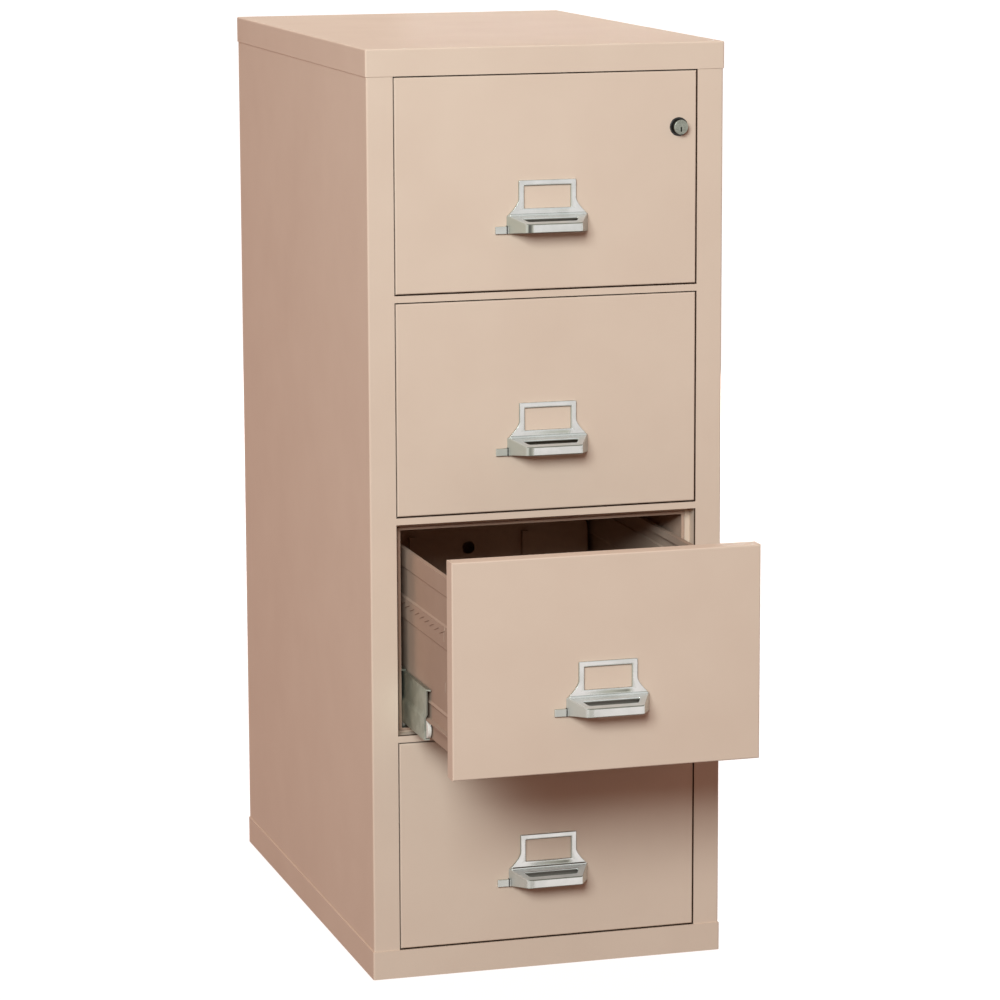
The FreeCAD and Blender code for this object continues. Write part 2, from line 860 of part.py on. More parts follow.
def handle_plate():
    """Flat back plate of the handle, flared like a bell above the pull."""
    y = front_y - plate_thickness
    spread = handle_crease_half - handle_half_width
    drop = handle_crease - handle_flare_top
    middle_x = handle_half_width + flare_middle_width_share * spread
    middle_z = handle_flare_top + flare_middle_height_share * drop
    right_top = V(handle_half_width, y, handle_top)
    right_flare = V(handle_half_width, y, handle_flare_top)
    right_crease = V(handle_crease_half, y, handle_crease)
    right_foot = V(handle_crease_half, y, pull_back_bottom)
    left_top = V(-handle_half_width, y, handle_top)
    left_flare = V(-handle_half_width, y, handle_flare_top)
    left_crease = V(-handle_crease_half, y, handle_crease)
    left_foot = V(-handle_crease_half, y, pull_back_bottom)
    edges = [
        Part.makeLine(left_top, right_top),
        Part.makeLine(right_top, right_flare),
        Part.Arc(right_flare, V(middle_x, y, middle_z), right_crease).toShape(),
        Part.makeLine(right_crease, right_foot),
        Part.makeLine(right_foot, left_foot),
        Part.makeLine(left_foot, left_crease),
        Part.Arc(left_crease, V(-middle_x, y, middle_z), left_flare).toShape(),
        Part.makeLine(left_flare, left_top),
    ]
    plate = Part.Face(Part.Wire(edges)).extrude(V(0, plate_thickness, 0))
    plate = rounded(
        plate,
        handle_corner_radius,
        lambda box: near(box.ZMin, handle_top) and near(box.YLength, plate_thickness),
    )
    return plate.cut(label_window(y))


def label_window(y):
    """Bevelled window of the label holder, right through its plate."""
    centre_z = (label_top + label_bottom) / 2
    half_height = (label_top - label_bottom) / 2
    wide = label_half_width + label_bevel
    tall = half_height + label_bevel
    back = y + label_bevel
    mouth = Part.makePolygon(rectangle(wide, tall, y, centre_z))
    throat = Part.makePolygon(rectangle(label_half_width, half_height, back, centre_z))
    bevel = Part.makeLoft([mouth, throat], True, True)
    x = (-label_half_width, label_half_width)
    return bevel.fuse(block(x, (back, front_y + overrun), (label_bottom, label_top)))


def rectangle(half_width, half_height, y, centre_z):
    """Closed corner list of a rectangle facing the front."""
    low = centre_z - half_height
    high = centre_z + half_height
    corners = [V(-half_width, y, low), V(half_width, y, low)]
    corners += [V(half_width, y, high), V(-half_width, y, high)]
    return corners + corners[:1]


def pull_plan(inset_back, inset_front, inset_side, z):
    """Trapezoid of the pull seen from above, shrunk by the insets, as an upright prism."""
    back = front_y - inset_back
    front = front_y - pull_depth + inset_front
    slope = (pull_back_half - pull_front_half) / pull_depth
    back_half = pull_back_half - slope * inset_back - inset_side
    front_half = pull_front_half + slope * inset_front - inset_side
    points = [
        V(-back_half, back, z[0]),
        V(-front_half, front, z[0]),
        V(front_half, front, z[0]),
        V(back_half, back, z[0]),
    ]
    return prism(points, V(0, 0, z[1] - z[0]))


def pull_profile():
    """Side view of the pull carried right across."""
    x = -pull_back_half
    points = [
        V(x, front_y, pull_back_bottom),
        V(x, front_y - pull_depth, pull_front_bottom),
        V(x, front_y - pull_depth, pull_front_top),
        V(x, front_y - plate_thickness, handle_crease),
        V(x, front_y, handle_crease),
    ]
    return prism(points, V(2 * pull_back_half, 0, 0))


def pull():
    """Bar pull with splayed sides, a pocket for the fingers below and a slot through its deck."""
    z = (pull_back_bottom - overrun, handle_crease + overrun)
    outer = pull_profile().common(pull_plan(0, 0, 0, z))
    outer = rounded(
        outer,
        pull_edge_radius,
        lambda box: box.YMin < front_y - pull_depth + pull_edge_radius,
    )
    side = pull_side_thickness
    bar = pull_bar_thickness
    ceiling = (z[0], pull_front_top - pull_shelf_thickness)
    pocket = pull_plan(plate_thickness, bar, side, ceiling)
    slot = pull_plan(pull_shelf_depth, pull_deck_front, pull_deck_side, z)
    return outer.cut(pocket).cut(slot)


def handle(number):
    """Chromed pull with its label holder."""
    bead = rod_x((-bead_half, bead_half), front_y - plate_thickness, handle_crease, bead_radius)
    bead = bead.makeFillet(bead_radius / 2, [e for e in bead.Edges if near_circle(e, bead_radius)])
    whole = join([handle_plate(), pull(), bead])
    whole = whole.translated(V(0, 0, sum(opening(number)) / 2))
    return whole.cut(tab_slot(number))


def tab_y():
    """Front and back faces of the thumb tab, close to the drawer's face."""
    back = front_y - latch_gap
    return back - tab_thickness, back


def tab_z(number):
    """Bottom and top of the thumb tab."""
    bottom = sum(opening(number)) / 2 + tab_bottom
    return bottom, bottom + tab_height


def tab_slot(number):
    """Slot through the pull's left side and back that the thumb tab slides in."""
    low, high = tab_z(number)
    x = (-pull_back_half - overrun, stem_x()[1] + latch_travel + latch_gap)
    return block(x, (tab_y()[0] - latch_gap, front_y + overrun), (low - latch_gap, high + latch_gap))


def thumb_latch(number):
    """Flat thumb tab, the stem through the head and the bolt behind it."""
    left = -pull_back_half - tab_reach
    tab = block((left, stem_x()[1]), tab_y(), tab_z(number))
    tab = rounded(tab, tab_radius, lambda box: near(box.XMax, left))
    low, high = stem_z(number)
    stem = block(stem_x(), (tab_y()[0], latch_bolt_y + bolt_thickness), (low, high))
    nose = -lip_half + latch_nose_clearance
    bolt_y = (latch_bolt_y, latch_bolt_y + bolt_thickness)
    bolt = block((nose, stem_x()[1]), bolt_y, bolt_z(number))
    riser = block(stem_x(), bolt_y, (low, bolt_z(number)[1]))
    return join([tab, stem, riser, bolt])


def cradle():
    """Intermediate member: a joggled channel on each side and the tie that joins them."""
    outer = [
        (cradle_outer, cradle_bottom_height),
        (cradle_outer, cradle_joggle_height - cradle_joggle_ramp),
        (cradle_upper_outer, cradle_joggle_height),
        (cradle_upper_outer, cradle_top_height),
    ]
    y = (cradle_front_y, cradle_rear_y)
    outside = [V(x, y[0], z) for x, z in outer]
    inside = [V(x - cradle_gauge, y[0], z) for x, z in reversed(outer)]
    web = prism(outside + inside, V(0, y[1] - y[0], 0))
    foot_y = (y[0], rear_roller_y - roller_radius - running_gap - cradle_gauge)
    foot_z = (cradle_bottom_height, cradle_bottom_height + cradle_gauge)
    foot = block((cradle_flange_end, cradle_outer), foot_y, foot_z)
    top_z = (cradle_top_height - cradle_gauge, cradle_top_height)
    nose = prism(
        [
            V(cradle_upper_outer, y[0], top_z[0]),
            V(cradle_flange_end, y[0] - cradle_flange_nose, top_z[0]),
            V(cradle_flange_end, y[1], top_z[0]),
            V(cradle_upper_outer, y[1], top_z[0]),
        ],
        V(0, 0, cradle_gauge),
    )
    axle_x = (roller_start, cradle_outer - cradle_gauge / 2)
    front_axle = rod_x(axle_x, front_roller_y, carrying_roller_z, axle_radius)
    rear_axle = rod_x(axle_x, rear_roller_y, rear_roller_z, axle_radius)
    side = join([web, foot, nose, front_axle, rear_axle])
    tie_y = (cradle_rear_y - cradle_tie_inset - cradle_tie_width, cradle_rear_y - cradle_tie_inset)
    tie_z = (cradle_bottom_height - cradle_gauge, cradle_bottom_height)
    tie = block((-cradle_outer, cradle_outer), tie_y, tie_z)
    return join(both_sides(side) + [tie])


def follower(number):
    """Upright block that holds the files from behind, with its foot and catch lever."""
    half = body_panel_half + body_band_proud - rim_width - follower_side_clearance
    low = body_floor_height + body_gauge + running_gap
    back = body_rear_y - follower_rear_clearance
    y = (back - follower_gauge, back)
    plate = block((-half, half), y, (low, low + follower_height))
    plate = rounded(
        plate,
        follower_corner_radius,
        lambda box: near(box.YLength, follower_gauge) and box.ZMin > low + follower_gauge,
    )
    grip_z = low + follower_height - follower_grip_drop
    grip_y = (y[0] - overrun, y[1] + overrun)
    plate = plate.cut(rod_y(0, grip_y, grip_z, follower_grip_radius))
    foot_z = (low + track_height, low + track_height + follower_gauge)
    foot = block((-half, half), (y[1] - follower_foot, y[0]), foot_z)
    lever_half = follower_lever_width / 2
    lever_y = (y[1] - follower_foot, y[1] - follower_foot + follower_gauge)
    lever_z = (foot_z[0], foot_z[0] + follower_lever_height)
    lever = block((-lever_half, lever_half), lever_y, lever_z)
    ribs = []
    for side in (-1, 1):
        middle = side * follower_rib_offset
        x = (middle - follower_rib_width / 2, middle + follower_rib_width / 2)
        rib_z = (foot_z[0], low + follower_height - follower_corner_radius)
        ribs.append(block(x, (y[0] - follower_rib_depth, y[0]), rib_z))
    clear = block(
        (-track_width, track_width),
        (y[0] - overrun, y[1] + overrun),
        (low - overrun, low + track_height),
    )
    whole = join([plate, foot, lever] + ribs).cut(clear)
    return whole.translated(V(0, 0, opening(number)[0]))


def lock_housing():
    """Barrel of the plunger lock with its black bezel."""
    bezel_y = (front_y - bezel_thickness, front_y)
    bezel = rod_y(lock_x, bezel_y, lock_z, bezel_radius)
    bezel = bezel.makeFillet(bezel_edge, [front_rim(bezel, bezel_radius, bezel_y[0])])
    barrel = rod_y(lock_x, (front_y, front_y + barrel_length), lock_z, barrel_radius)
    bore_y = (bezel_y[0] - overrun, front_y + barrel_length + overrun)
    bore = rod_y(lock_x, bore_y, lock_z, plunger_radius + plunger_clearance)
    return join([bezel, barrel]).cut(bore)


def front_rim(shape, radius, y):
    """Circular edge of that radius at that depth."""
    for edge in shape.Edges:
        if near_circle(edge, radius) and near(edge.BoundBox.YMin, y):
            return edge
    return None


def lock_plunger():
    """Plunger with the arm that pushes the lock bar's wedge."""
    face = front_y - plunger_proud
    body = rod_y(lock_x, (face, face + plunger_length), lock_z, plunger_radius)
    body = body.makeFillet(plunger_edge, [front_rim(body, plunger_radius, face)])
    rod = rod_y(lock_x, (face + plunger_length, push_arm_y), lock_z, plunger_rod_radius)
    half = push_arm_height / 2
    arm_y = (push_arm_y - push_arm_thickness, push_arm_y)
    arm = block((lock_x, push_arm_end), arm_y, (lock_z - half, lock_z + half))
    bore_y = (face - overrun, face + key_plug_length)
    bore = rod_y(lock_x, bore_y, lock_z - key_plug_drop, key_plug_radius + key_plug_clearance)
    return join([body, rod, arm]).cut(bore)


def key_plug():
    """Turning plug in the plunger's face with its keyway."""
    face = front_y - plunger_proud
    centre = lock_z - key_plug_drop
    plug = rod_y(lock_x, (face, face + key_plug_length), centre, key_plug_radius)
    half = keyway_width / 2
    y = (face - overrun, face + keyway_depth)
    z = (centre - keyway_height / 2, centre + keyway_height / 2)
    return plug.cut(block((lock_x - half, lock_x + half), y, z))


def save(name, solids):
    """Write one node's solids to its file."""
    shape = solids[0] if len(solids) == 1 else Part.makeCompound(solids)
    shape.exportStep(os.path.join("parts", name + ".step"))
    volume = sum(solid.Volume for solid in solids)
    print(name, len(shape.Solids), "solids", round(volume), "mm3", shape.isValid())


def save_cabinet():
    """Everything that stays with the cabinet."""
    holes = screw_holes()
    save("outer_shell", [outer_shell()])
    save("top_cap", [top_cap()])
    save("base_plinth", [base_plinth()])
    save("front_frame", [front_frame()])
    save("insulation_sides", [slab.cut(holes) for slab in insulation_sides()])
    save("insulation_back", insulation_back())
    save("insulation_decks", insulation_decks())
    save("compartment_liners", [liner.cut(holes) for liner in compartment_liners()])
    save("cabinet_rails", cabinet_rails())
    save("rail_screws", rail_screws())
    save("latch_strikes", latch_strikes())
    save("lock_bar_guides", lock_bar_guides())
    save("lock_bar", lock_bar())


def save_drawer(number):
    """One drawer with everything that rides on it or carries it."""
    tag = "_" + str(number)
    bottom = opening(number)[0]
    rest = drawer_rest_opening.get(number, 0)
    with_drawer = V(0, -rest, 0)
    with_cradle = V(0, -rest / 2, bottom)
    save("drawer_front" + tag, [drawer_front(number).translated(with_drawer)])
    save("head_insulation" + tag, [head_insulation(number).translated(with_drawer)])
    save("drawer_body" + tag, [drawer_body(number).translated(with_drawer)])
    save("handle" + tag, [handle(number).translated(with_drawer)])
    save("thumb_latch" + tag, [thumb_latch(number).translated(with_drawer)])
    save("follower" + tag, [follower(number).translated(with_drawer)])
    save("cradle" + tag, [cradle().translated(with_cradle)])
    small = wheel(rail_roller_y, rail_roller_z, rail_roller_radius, rail_roller_bore_radius)
    front = wheel(front_roller_y, carrying_roller_z, roller_radius, roller_bore_radius)
    rear = wheel(rear_roller_y, rear_roller_z, roller_radius, roller_bore_radius)
    riding = wheel(drawer_roller_y, carrying_roller_z, roller_radius, roller_bore_radius)
    save("rail_rollers" + tag, both_sides(small.translated(V(0, 0, bottom))))
    save("cradle_front_rollers" + tag, both_sides(front.translated(with_cradle)))
    save("cradle_rear_rollers" + tag, both_sides(rear.translated(with_cradle)))
    save("drawer_rollers" + tag, both_sides(riding.translated(V(0, -rest, bottom))))


def save_lock():
    """Plunger lock in the head of the top drawer."""
    save("lock_housing", [lock_housing()])
    save("lock_plunger", [lock_plunger()])
    save("key_plug", [key_plug()])


os.makedirs("parts", exist_ok=True)
save_cabinet()
for drawer in range(1, drawer_count + 1):
    save_drawer(drawer)
save_lock()
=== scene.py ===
# %% [markdown]
# # A fire-insulated filing cabinet, dressed for its portrait
# The steel carcass, the drawers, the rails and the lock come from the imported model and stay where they
# are. This notebook gives them their finishes and adds the pieces whose beauty is in their surfaces:
# the chromed pulls and the thumb tabs. Each of those is a grid of points worked out by a formula, so a
# reader can change one number and see what it does.

import json
import math

import bmesh
import bpy
import numpy as np
from mathutils import Matrix, Vector


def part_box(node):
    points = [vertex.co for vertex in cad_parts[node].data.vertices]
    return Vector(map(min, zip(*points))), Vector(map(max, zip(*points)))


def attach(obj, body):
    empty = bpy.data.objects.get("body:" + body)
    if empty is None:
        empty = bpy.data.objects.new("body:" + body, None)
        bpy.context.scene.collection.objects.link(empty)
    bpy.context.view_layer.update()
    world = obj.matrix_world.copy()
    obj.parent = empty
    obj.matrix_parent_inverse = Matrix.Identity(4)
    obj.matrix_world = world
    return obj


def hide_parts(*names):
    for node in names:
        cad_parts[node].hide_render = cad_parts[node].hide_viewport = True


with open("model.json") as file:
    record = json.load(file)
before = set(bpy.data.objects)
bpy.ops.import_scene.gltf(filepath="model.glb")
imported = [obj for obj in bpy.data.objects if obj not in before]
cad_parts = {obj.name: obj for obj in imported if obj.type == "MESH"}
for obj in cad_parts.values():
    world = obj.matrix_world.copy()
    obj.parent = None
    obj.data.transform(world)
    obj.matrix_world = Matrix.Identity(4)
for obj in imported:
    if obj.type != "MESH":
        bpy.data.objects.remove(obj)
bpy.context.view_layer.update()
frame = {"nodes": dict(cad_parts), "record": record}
nodes = frame["nodes"]
MM = 0.001

# %% [markdown]
# Everything is in metres, and MM turns millimetres into them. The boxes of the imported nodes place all
# the new pieces, so that a new pack moves the dressing with it. The box of each packed handle says
# where its drawer's pull goes.

# %% Places of the pulls
drawer_numbers = (1, 2, 3, 4)
handle_box = {number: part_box("handle_%d" % number) for number in drawer_numbers}
for number, (low, high) in handle_box.items():
    print("handle", number, "hangs from", round(high.z, 4), "and reaches out to", round(low.y, 4))

# %% [markdown]
# The camera stands six metres away to the left of the cabinet and looks a little down, with a long
# lens. A long lens far away keeps the upright edges nearly parallel, as a catalogue photographer
# wants. Yaw, pitch and roll turn the view, and the focal length is given for a square picture, as so
# many picture widths.

# %% Camera
camera_place = Vector((-1.657, -5.767, 1.714))
camera_yaw = math.radians(16.46)
camera_pitch = math.radians(10.32)
camera_roll = math.radians(-0.21)
focal_in_picture_widths = 3.985


def camera_axes(yaw, pitch, roll):
    """Right, up and forward of a camera: forward is (sin yaw cos pitch, cos yaw cos pitch, -sin pitch),
    right is level, and roll turns right and up about forward."""
    forward = Vector((math.sin(yaw) * math.cos(pitch), math.cos(yaw) * math.cos(pitch), -math.sin(pitch)))
    level = Vector((math.cos(yaw), -math.sin(yaw), 0))
    upright = level.cross(forward)
    right = level * math.cos(roll) + upright * math.sin(roll)
    return right, right.cross(forward), forward


camera_data = bpy.data.cameras.new("camera")
camera_data.lens = focal_in_picture_widths * camera_data.sensor_width
camera = bpy.data.objects.new("camera", camera_data)
right, up, forward = camera_axes(camera_yaw, camera_pitch, camera_roll)
turn = Matrix((right, up, -forward)).transposed()
camera.matrix_world = Matrix.Translation(camera_place) @ turn.to_4x4()
bpy.context.scene.collection.objects.link(camera)
bpy.context.scene.camera = camera
print("lens", round(camera_data.lens, 1), "mm")

# %% [markdown]
# The studio's walls and its floor look white in the picture, but they light the cabinet with less than
# that. So both need to tell the rays that make the picture from those that only carry light.

# %% Rays that make the picture
def calculate(tree, operation, first, second):
    """Result of an operation on two values, either of which may be a plain number."""
    node = tree.nodes.new("ShaderNodeMath")
    node.operation = operation
    for socket, value in zip(node.inputs, (first, second)):
        if isinstance(value, (int, float)):
            socket.default_value = value
        else:
            tree.links.new(value, socket)
    return node.outputs[0]


def picture_rays(tree):
    """1 for rays straight from the camera, off a mirror or through glass, and 0 for all others."""
    path = tree.nodes.new("ShaderNodeLightPath")
    seen = calculate(tree, "MAXIMUM", path.outputs["Is Camera Ray"], path.outputs["Is Glossy Ray"])
    return calculate(tree, "MAXIMUM", seen, path.outputs["Is Transmission Ray"])


# %% [markdown]
# A studio for painted steel is a few large soft lamps between bright walls. The key stands to the left
# in front and well above, so the front is bright, the side falls off, and each drawer's edge throws its
# shadow to the right. The key is feathered: it is turned to a point above the cabinet, so that its
# light fades towards the floor. A second lamp hangs over the top, a weak one shows the right side, a
# weaker warm one stands beside the left side, and one behind shows the back. The world stands for the
# studio's walls and gives off a warm light. Most lamps are a little cool, so that the front keeps its
# own colour.

# %% Studio light
wall_light = 0.32
wall_colour = (1.0, 0.53, 0.42)
cool_white = (0.90, 0.98, 1.0)
warm_white = (1.0, 0.48, 0.33)
lamp_list = [
    # name, place, size, watts, colour, target
    ("key", (-3.0, -5.7, 3.8), 3.0, 548.0, cool_white, (0, 0, 5.1)),
    ("top", (0.2, 0.7, 3.6), 1.6, 30.5, cool_white, (0, 0, 1.34)),
    ("fill", (4.6, 0.2, 1.2), 2.0, 26.0, cool_white, (0, 0.2, 0.9)),
    ("side", (-3.6, 0.6, 0.85), 2.0, 13.0, warm_white, (0, 0.2, 0.75)),
    ("back", (2.0, 5.2, 0.9), 1.4, 190.0, cool_white, (0, 0.4, 0.8)),
]


def studio_world(strength, colour):
    """World that is white in the picture and lights with the colour."""
    world = bpy.data.worlds.new("studio")
    bpy.context.scene.world = world
    world.use_nodes = True
    tree = world.node_tree
    tree.nodes.clear()
    light = tree.nodes.new("ShaderNodeBackground")
    light.inputs["Strength"].default_value = strength
    light.inputs["Color"].default_value = colour + (1,)
    white = tree.nodes.new("ShaderNodeBackground")
    white.inputs["Color"].default_value = (1, 1, 1, 1)
    mix = tree.nodes.new("ShaderNodeMixShader")
    output = tree.nodes.new("ShaderNodeOutputWorld")
    tree.links.new(picture_rays(tree), mix.inputs["Fac"])
    tree.links.new(light.outputs[0], mix.inputs[1])
    tree.links.new(white.outputs[0], mix.inputs[2])
    tree.links.new(mix.outputs[0], output.inputs["Surface"])


def studio_lamp(name, place, size, watts, colour, target):
    """Square soft lamp at a place, turned to its target."""
    data = bpy.data.lights.new(name, "AREA")
    data.size = size
    data.energy = watts
    data.color = colour
    lamp = bpy.data.objects.new(name, data)
    lamp.location = place
    lamp.rotation_euler = (Vector(target) - Vector(place)).to_track_quat("-Z", "Y").to_euler()
    bpy.context.scene.collection.objects.link(lamp)
    return lamp


studio_world(wall_light, wall_colour)
lamps = [studio_lamp(*row) for row in lamp_list]
bpy.context.scene.view_settings.view_transform = "Standard"
print("lamps", [lamp.name for lamp in lamps])

# %% [markdown]
# Shells come first, because every new piece is one. A shell here is a stack of closed rings of
# points. Neighbouring rings are joined by four-sided faces, and the two ends are either closed by a
# fan of triangles or joined to each other, as on a tyre. The mesh is filled from whole arrays, which
# is many times faster than adding points one at a time.

# %% Shells from rings of points
def shell(rings, ends="capped"):
    """Vertices and faces over rings[i, j], point j of ring i.

    A face joins points j and j + 1 of rings i and i + 1. "capped" closes each end with a fan to the
    ring's mean point, and "joined" joins the last ring to the first."""
    count, size = rings.shape[:2]
    index = np.arange(count * size).reshape(count, size)
    if ends == "joined":
        index = np.vstack([index, index[:1]])
    here, there = index[:-1], index[1:]
    quads = np.stack([here, np.roll(here, -1, 1), np.roll(there, -1, 1), there], -1).reshape(-1, 4)
    vertices = rings.reshape(-1, 3)
    faces = quads.tolist()
    if ends == "capped":
        first, last = index[0], index[-1]
        middle = np.array([rings[0].mean(0), rings[-1].mean(0)])
        low = np.stack([np.roll(first, -1), first, np.full(size, len(vertices))], -1)
        high = np.stack([last, np.roll(last, -1), np.full(size, len(vertices) + 1)], -1)
        vertices = np.vstack([vertices, middle])
        faces += low.tolist() + high.tolist()
    return vertices, faces


def merge(shells):
    """One list of vertices and one of faces out of several shells."""
    starts = np.cumsum([0] + [len(vertices) for vertices, faces in shells])
    vertices = np.vstack([vertices for vertices, faces in shells])
    faces = []
    for start, (points, corners) in zip(starts, shells):
        faces += [[start + corner for corner in face] for face in corners]
    return vertices, faces


def piece(name, shells, body, material, stands_for=()):
    """Object made of shells, faces outwards, smooth, that rides on a body and wears a material."""
    mesh = bpy.data.meshes.new(name)
    vertices, faces = merge(shells)
    mesh.from_pydata(vertices.tolist(), [], faces)
    work = bmesh.new()
    work.from_mesh(mesh)
    bmesh.ops.recalc_face_normals(work, faces=work.faces)
    work.to_mesh(mesh)
    work.free()
    mesh.shade_smooth()
    mesh.materials.append(material)
    made = bpy.data.objects.new(name, mesh)
    bpy.context.scene.collection.objects.link(made)
    steady = made.modifiers.new("even normals", "WEIGHTED_NORMAL")
    steady.keep_sharp = True
    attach(made, body)
    if stands_for:
        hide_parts(*stands_for)
    return made


# %% [markdown]
# Every real edge is a little round, and light shows it. `rounded_section` gives a rectangle with
# quarter-circle corners. `soft_block` carries it along a box and shrinks it over the last stretch by
# the same quarter circle, so that all twelve edges of the box are round. The first ring starts a
# little way into that circle, where its corners already have a radius.

# %% Rounded bars and blocks
corner_points = 6
arc_points = 8
first_bend = 0.06


def rounded_section(width, height, radius):
    """Corners of a rounded rectangle as (..., points, 2).

    Quadrant q has its centre at (sx (w / 2 - r), sy (h / 2 - r)), and point k there is that centre
    plus r (cos a, sin a), with a running over the quadrant. Width, height and radius may be arrays,
    one value for each ring."""
    width, height, radius = np.broadcast_arrays(*np.atleast_1d(width, height, radius))
    quarter = np.linspace(0, math.pi / 2, corner_points)
    angle = (np.arange(4)[:, None] * math.pi / 2 + quarter).ravel()
    side_x = np.repeat([1, -1, -1, 1], corner_points)
    side_y = np.repeat([1, 1, -1, -1], corner_points)
    across = side_x * (width[:, None] / 2 - radius[:, None]) + radius[:, None] * np.cos(angle)
    along = side_y * (height[:, None] / 2 - radius[:, None]) + radius[:, None] * np.sin(angle)
    return np.stack([across, along], -1)


def end_rounding(length, radius):
    """Places along a bar and how far its section shrinks there.

    Over the last radius of each end the place is r (1 - cos b) from the end and the section is
    smaller by r (1 - sin b) on each side, with b up to a quarter turn."""
    bend = np.linspace(first_bend, math.pi / 2, corner_points)
    inset = radius * (1 - np.cos(bend))
    shrink = radius * (1 - np.sin(bend))
    places = np.concatenate([inset, length - inset[::-1]])
    return places, np.concatenate([shrink, shrink[::-1]])


def soft_block(low, high, radius):
    """Box between two corners whose edges are all rounded by the radius."""
    low, high = np.array(low, float), np.array(high, float)
    size = high - low
    places, shrink = end_rounding(size[0], radius)
    section = rounded_section(size[1] - 2 * shrink, size[2] - 2 * shrink, radius - shrink)
    middle = (low + high) / 2
    rings = np.empty(section.shape[:2] + (3,))
    rings[..., 0] = low[0] + places[:, None]
    rings[..., 1:] = middle[1:] + section
    return shell(rings)


def arc(centre, radius, start, end, points=arc_points):
    """Points of a circular arc, angles in degrees, as (points, 2)."""
    angle = np.radians(np.linspace(start, end, points))
    return np.stack([centre[0] + radius * np.cos(angle), centre[1] + radius * np.sin(angle)], -1)


# %% [markdown]
# A finish is a small network of nodes. The helpers below keep each one readable: `finish` starts a
# material, `noise` adds a pattern that is fixed in the object's own space in metres, `blend_colours`
# mixes two paints by a mask, and `relief` turns a pattern into tiny bumps. A pattern in space needs no
# unwrapping. What is the same all over is set on the shader itself.

# %% Helpers for finishes
slight_detail = 1.0
fine_detail = 2.0
usual_detail = 3.0
cloudy_detail = 4.0
patchy_detail = 5.0
toe_end = 0.04045
toe_slope = 12.92
curve_shift = 0.055
curve_power = 2.4
screen_white = 255
# A Mix node has sockets for numbers, for vectors and for colours, and these are the colours' places.
colour_sockets = (6, 7)
mixed_colour_socket = 2


def finish(name, metallic=0.0):
    """Material with its tree and its shader."""
    material = bpy.data.materials.new(name)
    material.use_nodes = True
    tree = material.node_tree
    shader = tree.nodes["Principled BSDF"]
    shader.inputs["Metallic"].default_value = metallic
    return material, tree, shader


def place_of(tree, stretch=(1, 1, 1)):
    """Object coordinates, stretched along the axes."""
    coordinates = tree.nodes.new("ShaderNodeTexCoord")
    mapping = tree.nodes.new("ShaderNodeMapping")
    mapping.inputs["Scale"].default_value = stretch
    tree.links.new(coordinates.outputs["Object"], mapping.inputs["Vector"])
    return mapping.outputs["Vector"]


def noise(tree, scale, detail=usual_detail, stretch=(1, 1, 1)):
    """Fractal noise with so many features to the metre."""
    node = tree.nodes.new("ShaderNodeTexNoise")
    node.inputs["Scale"].default_value = scale
    node.inputs["Detail"].default_value = detail
    tree.links.new(place_of(tree, stretch), node.inputs["Vector"])
    return node.outputs["Fac"]


def remap(tree, value, old, new=(0.0, 1.0)):
    """Value carried from one range to another and clamped there."""
    node = tree.nodes.new("ShaderNodeMapRange")
    for socket, number in zip(("From Min", "From Max", "To Min", "To Max"), old + new):
        node.inputs[socket].default_value = number
    tree.links.new(value, node.inputs["Value"])
    return node.outputs["Result"]


def around(value, spread):
    """Range about a value, which lies between its two ends."""
    return value + spread[0], value + spread[1]


def blend_colours(tree, mask, first, second):
    """Colour between two, by a mask. A colour is three numbers or a socket."""
    node = tree.nodes.new("ShaderNodeMix")
    node.data_type = "RGBA"
    tree.links.new(mask, node.inputs["Factor"])
    for place, colour in zip(colour_sockets, (first, second)):
        if isinstance(colour, tuple):
            node.inputs[place].default_value = colour + (1,)
        else:
            tree.links.new(colour, node.inputs[place])
    return node.outputs[mixed_colour_socket]


def kept_number(tree, name):
    """Number that each point of a mesh keeps under a name, and 0 where it keeps none."""
    node = tree.nodes.new("ShaderNodeAttribute")
    node.attribute_name = name
    return node.outputs["Fac"]


def relief(tree, shader, height, depth, under=None):
    """Bumps of a height pattern, so many metres deep, over those under it."""
    node = tree.nodes.new("ShaderNodeBump")
    node.inputs["Distance"].default_value = depth
    node.inputs["Strength"].default_value = 1.0
    tree.links.new(height, node.inputs["Height"])
    if under is not None:
        tree.links.new(under, node.inputs["Normal"])
    tree.links.new(node.outputs["Normal"], shader.inputs["Normal"])
    return node.outputs["Normal"]


def linear(red, green, blue):
    """Linear colour of three screen values from 0 to 255: v / 12.92 in the dark toe of the screen's
    curve, and ((v + 0.055) / 1.055)^2.4 above it."""
    screen = np.array([red, green, blue]) / screen_white
    curve = ((screen + curve_shift) / (1 + curve_shift)) ** curve_power
    return tuple(np.where(screen < toe_end, screen / toe_slope, curve).tolist())


# %% [markdown]
# ## Enamel on steel
# The cabinet wears a warm beige enamel, sprayed and baked. Seen close, such paint is never flat: it
# has orange peel about a millimetre and a half across, it is a shade deeper where the coat is thicker,
# and hands and cloths leave it slightly glossier in patches. Four noises at four scales do that. The
# pigment itself has no shine: a thin clear coat of little weight gives the gloss, so that the sides
# don't turn white where they are seen along their length.

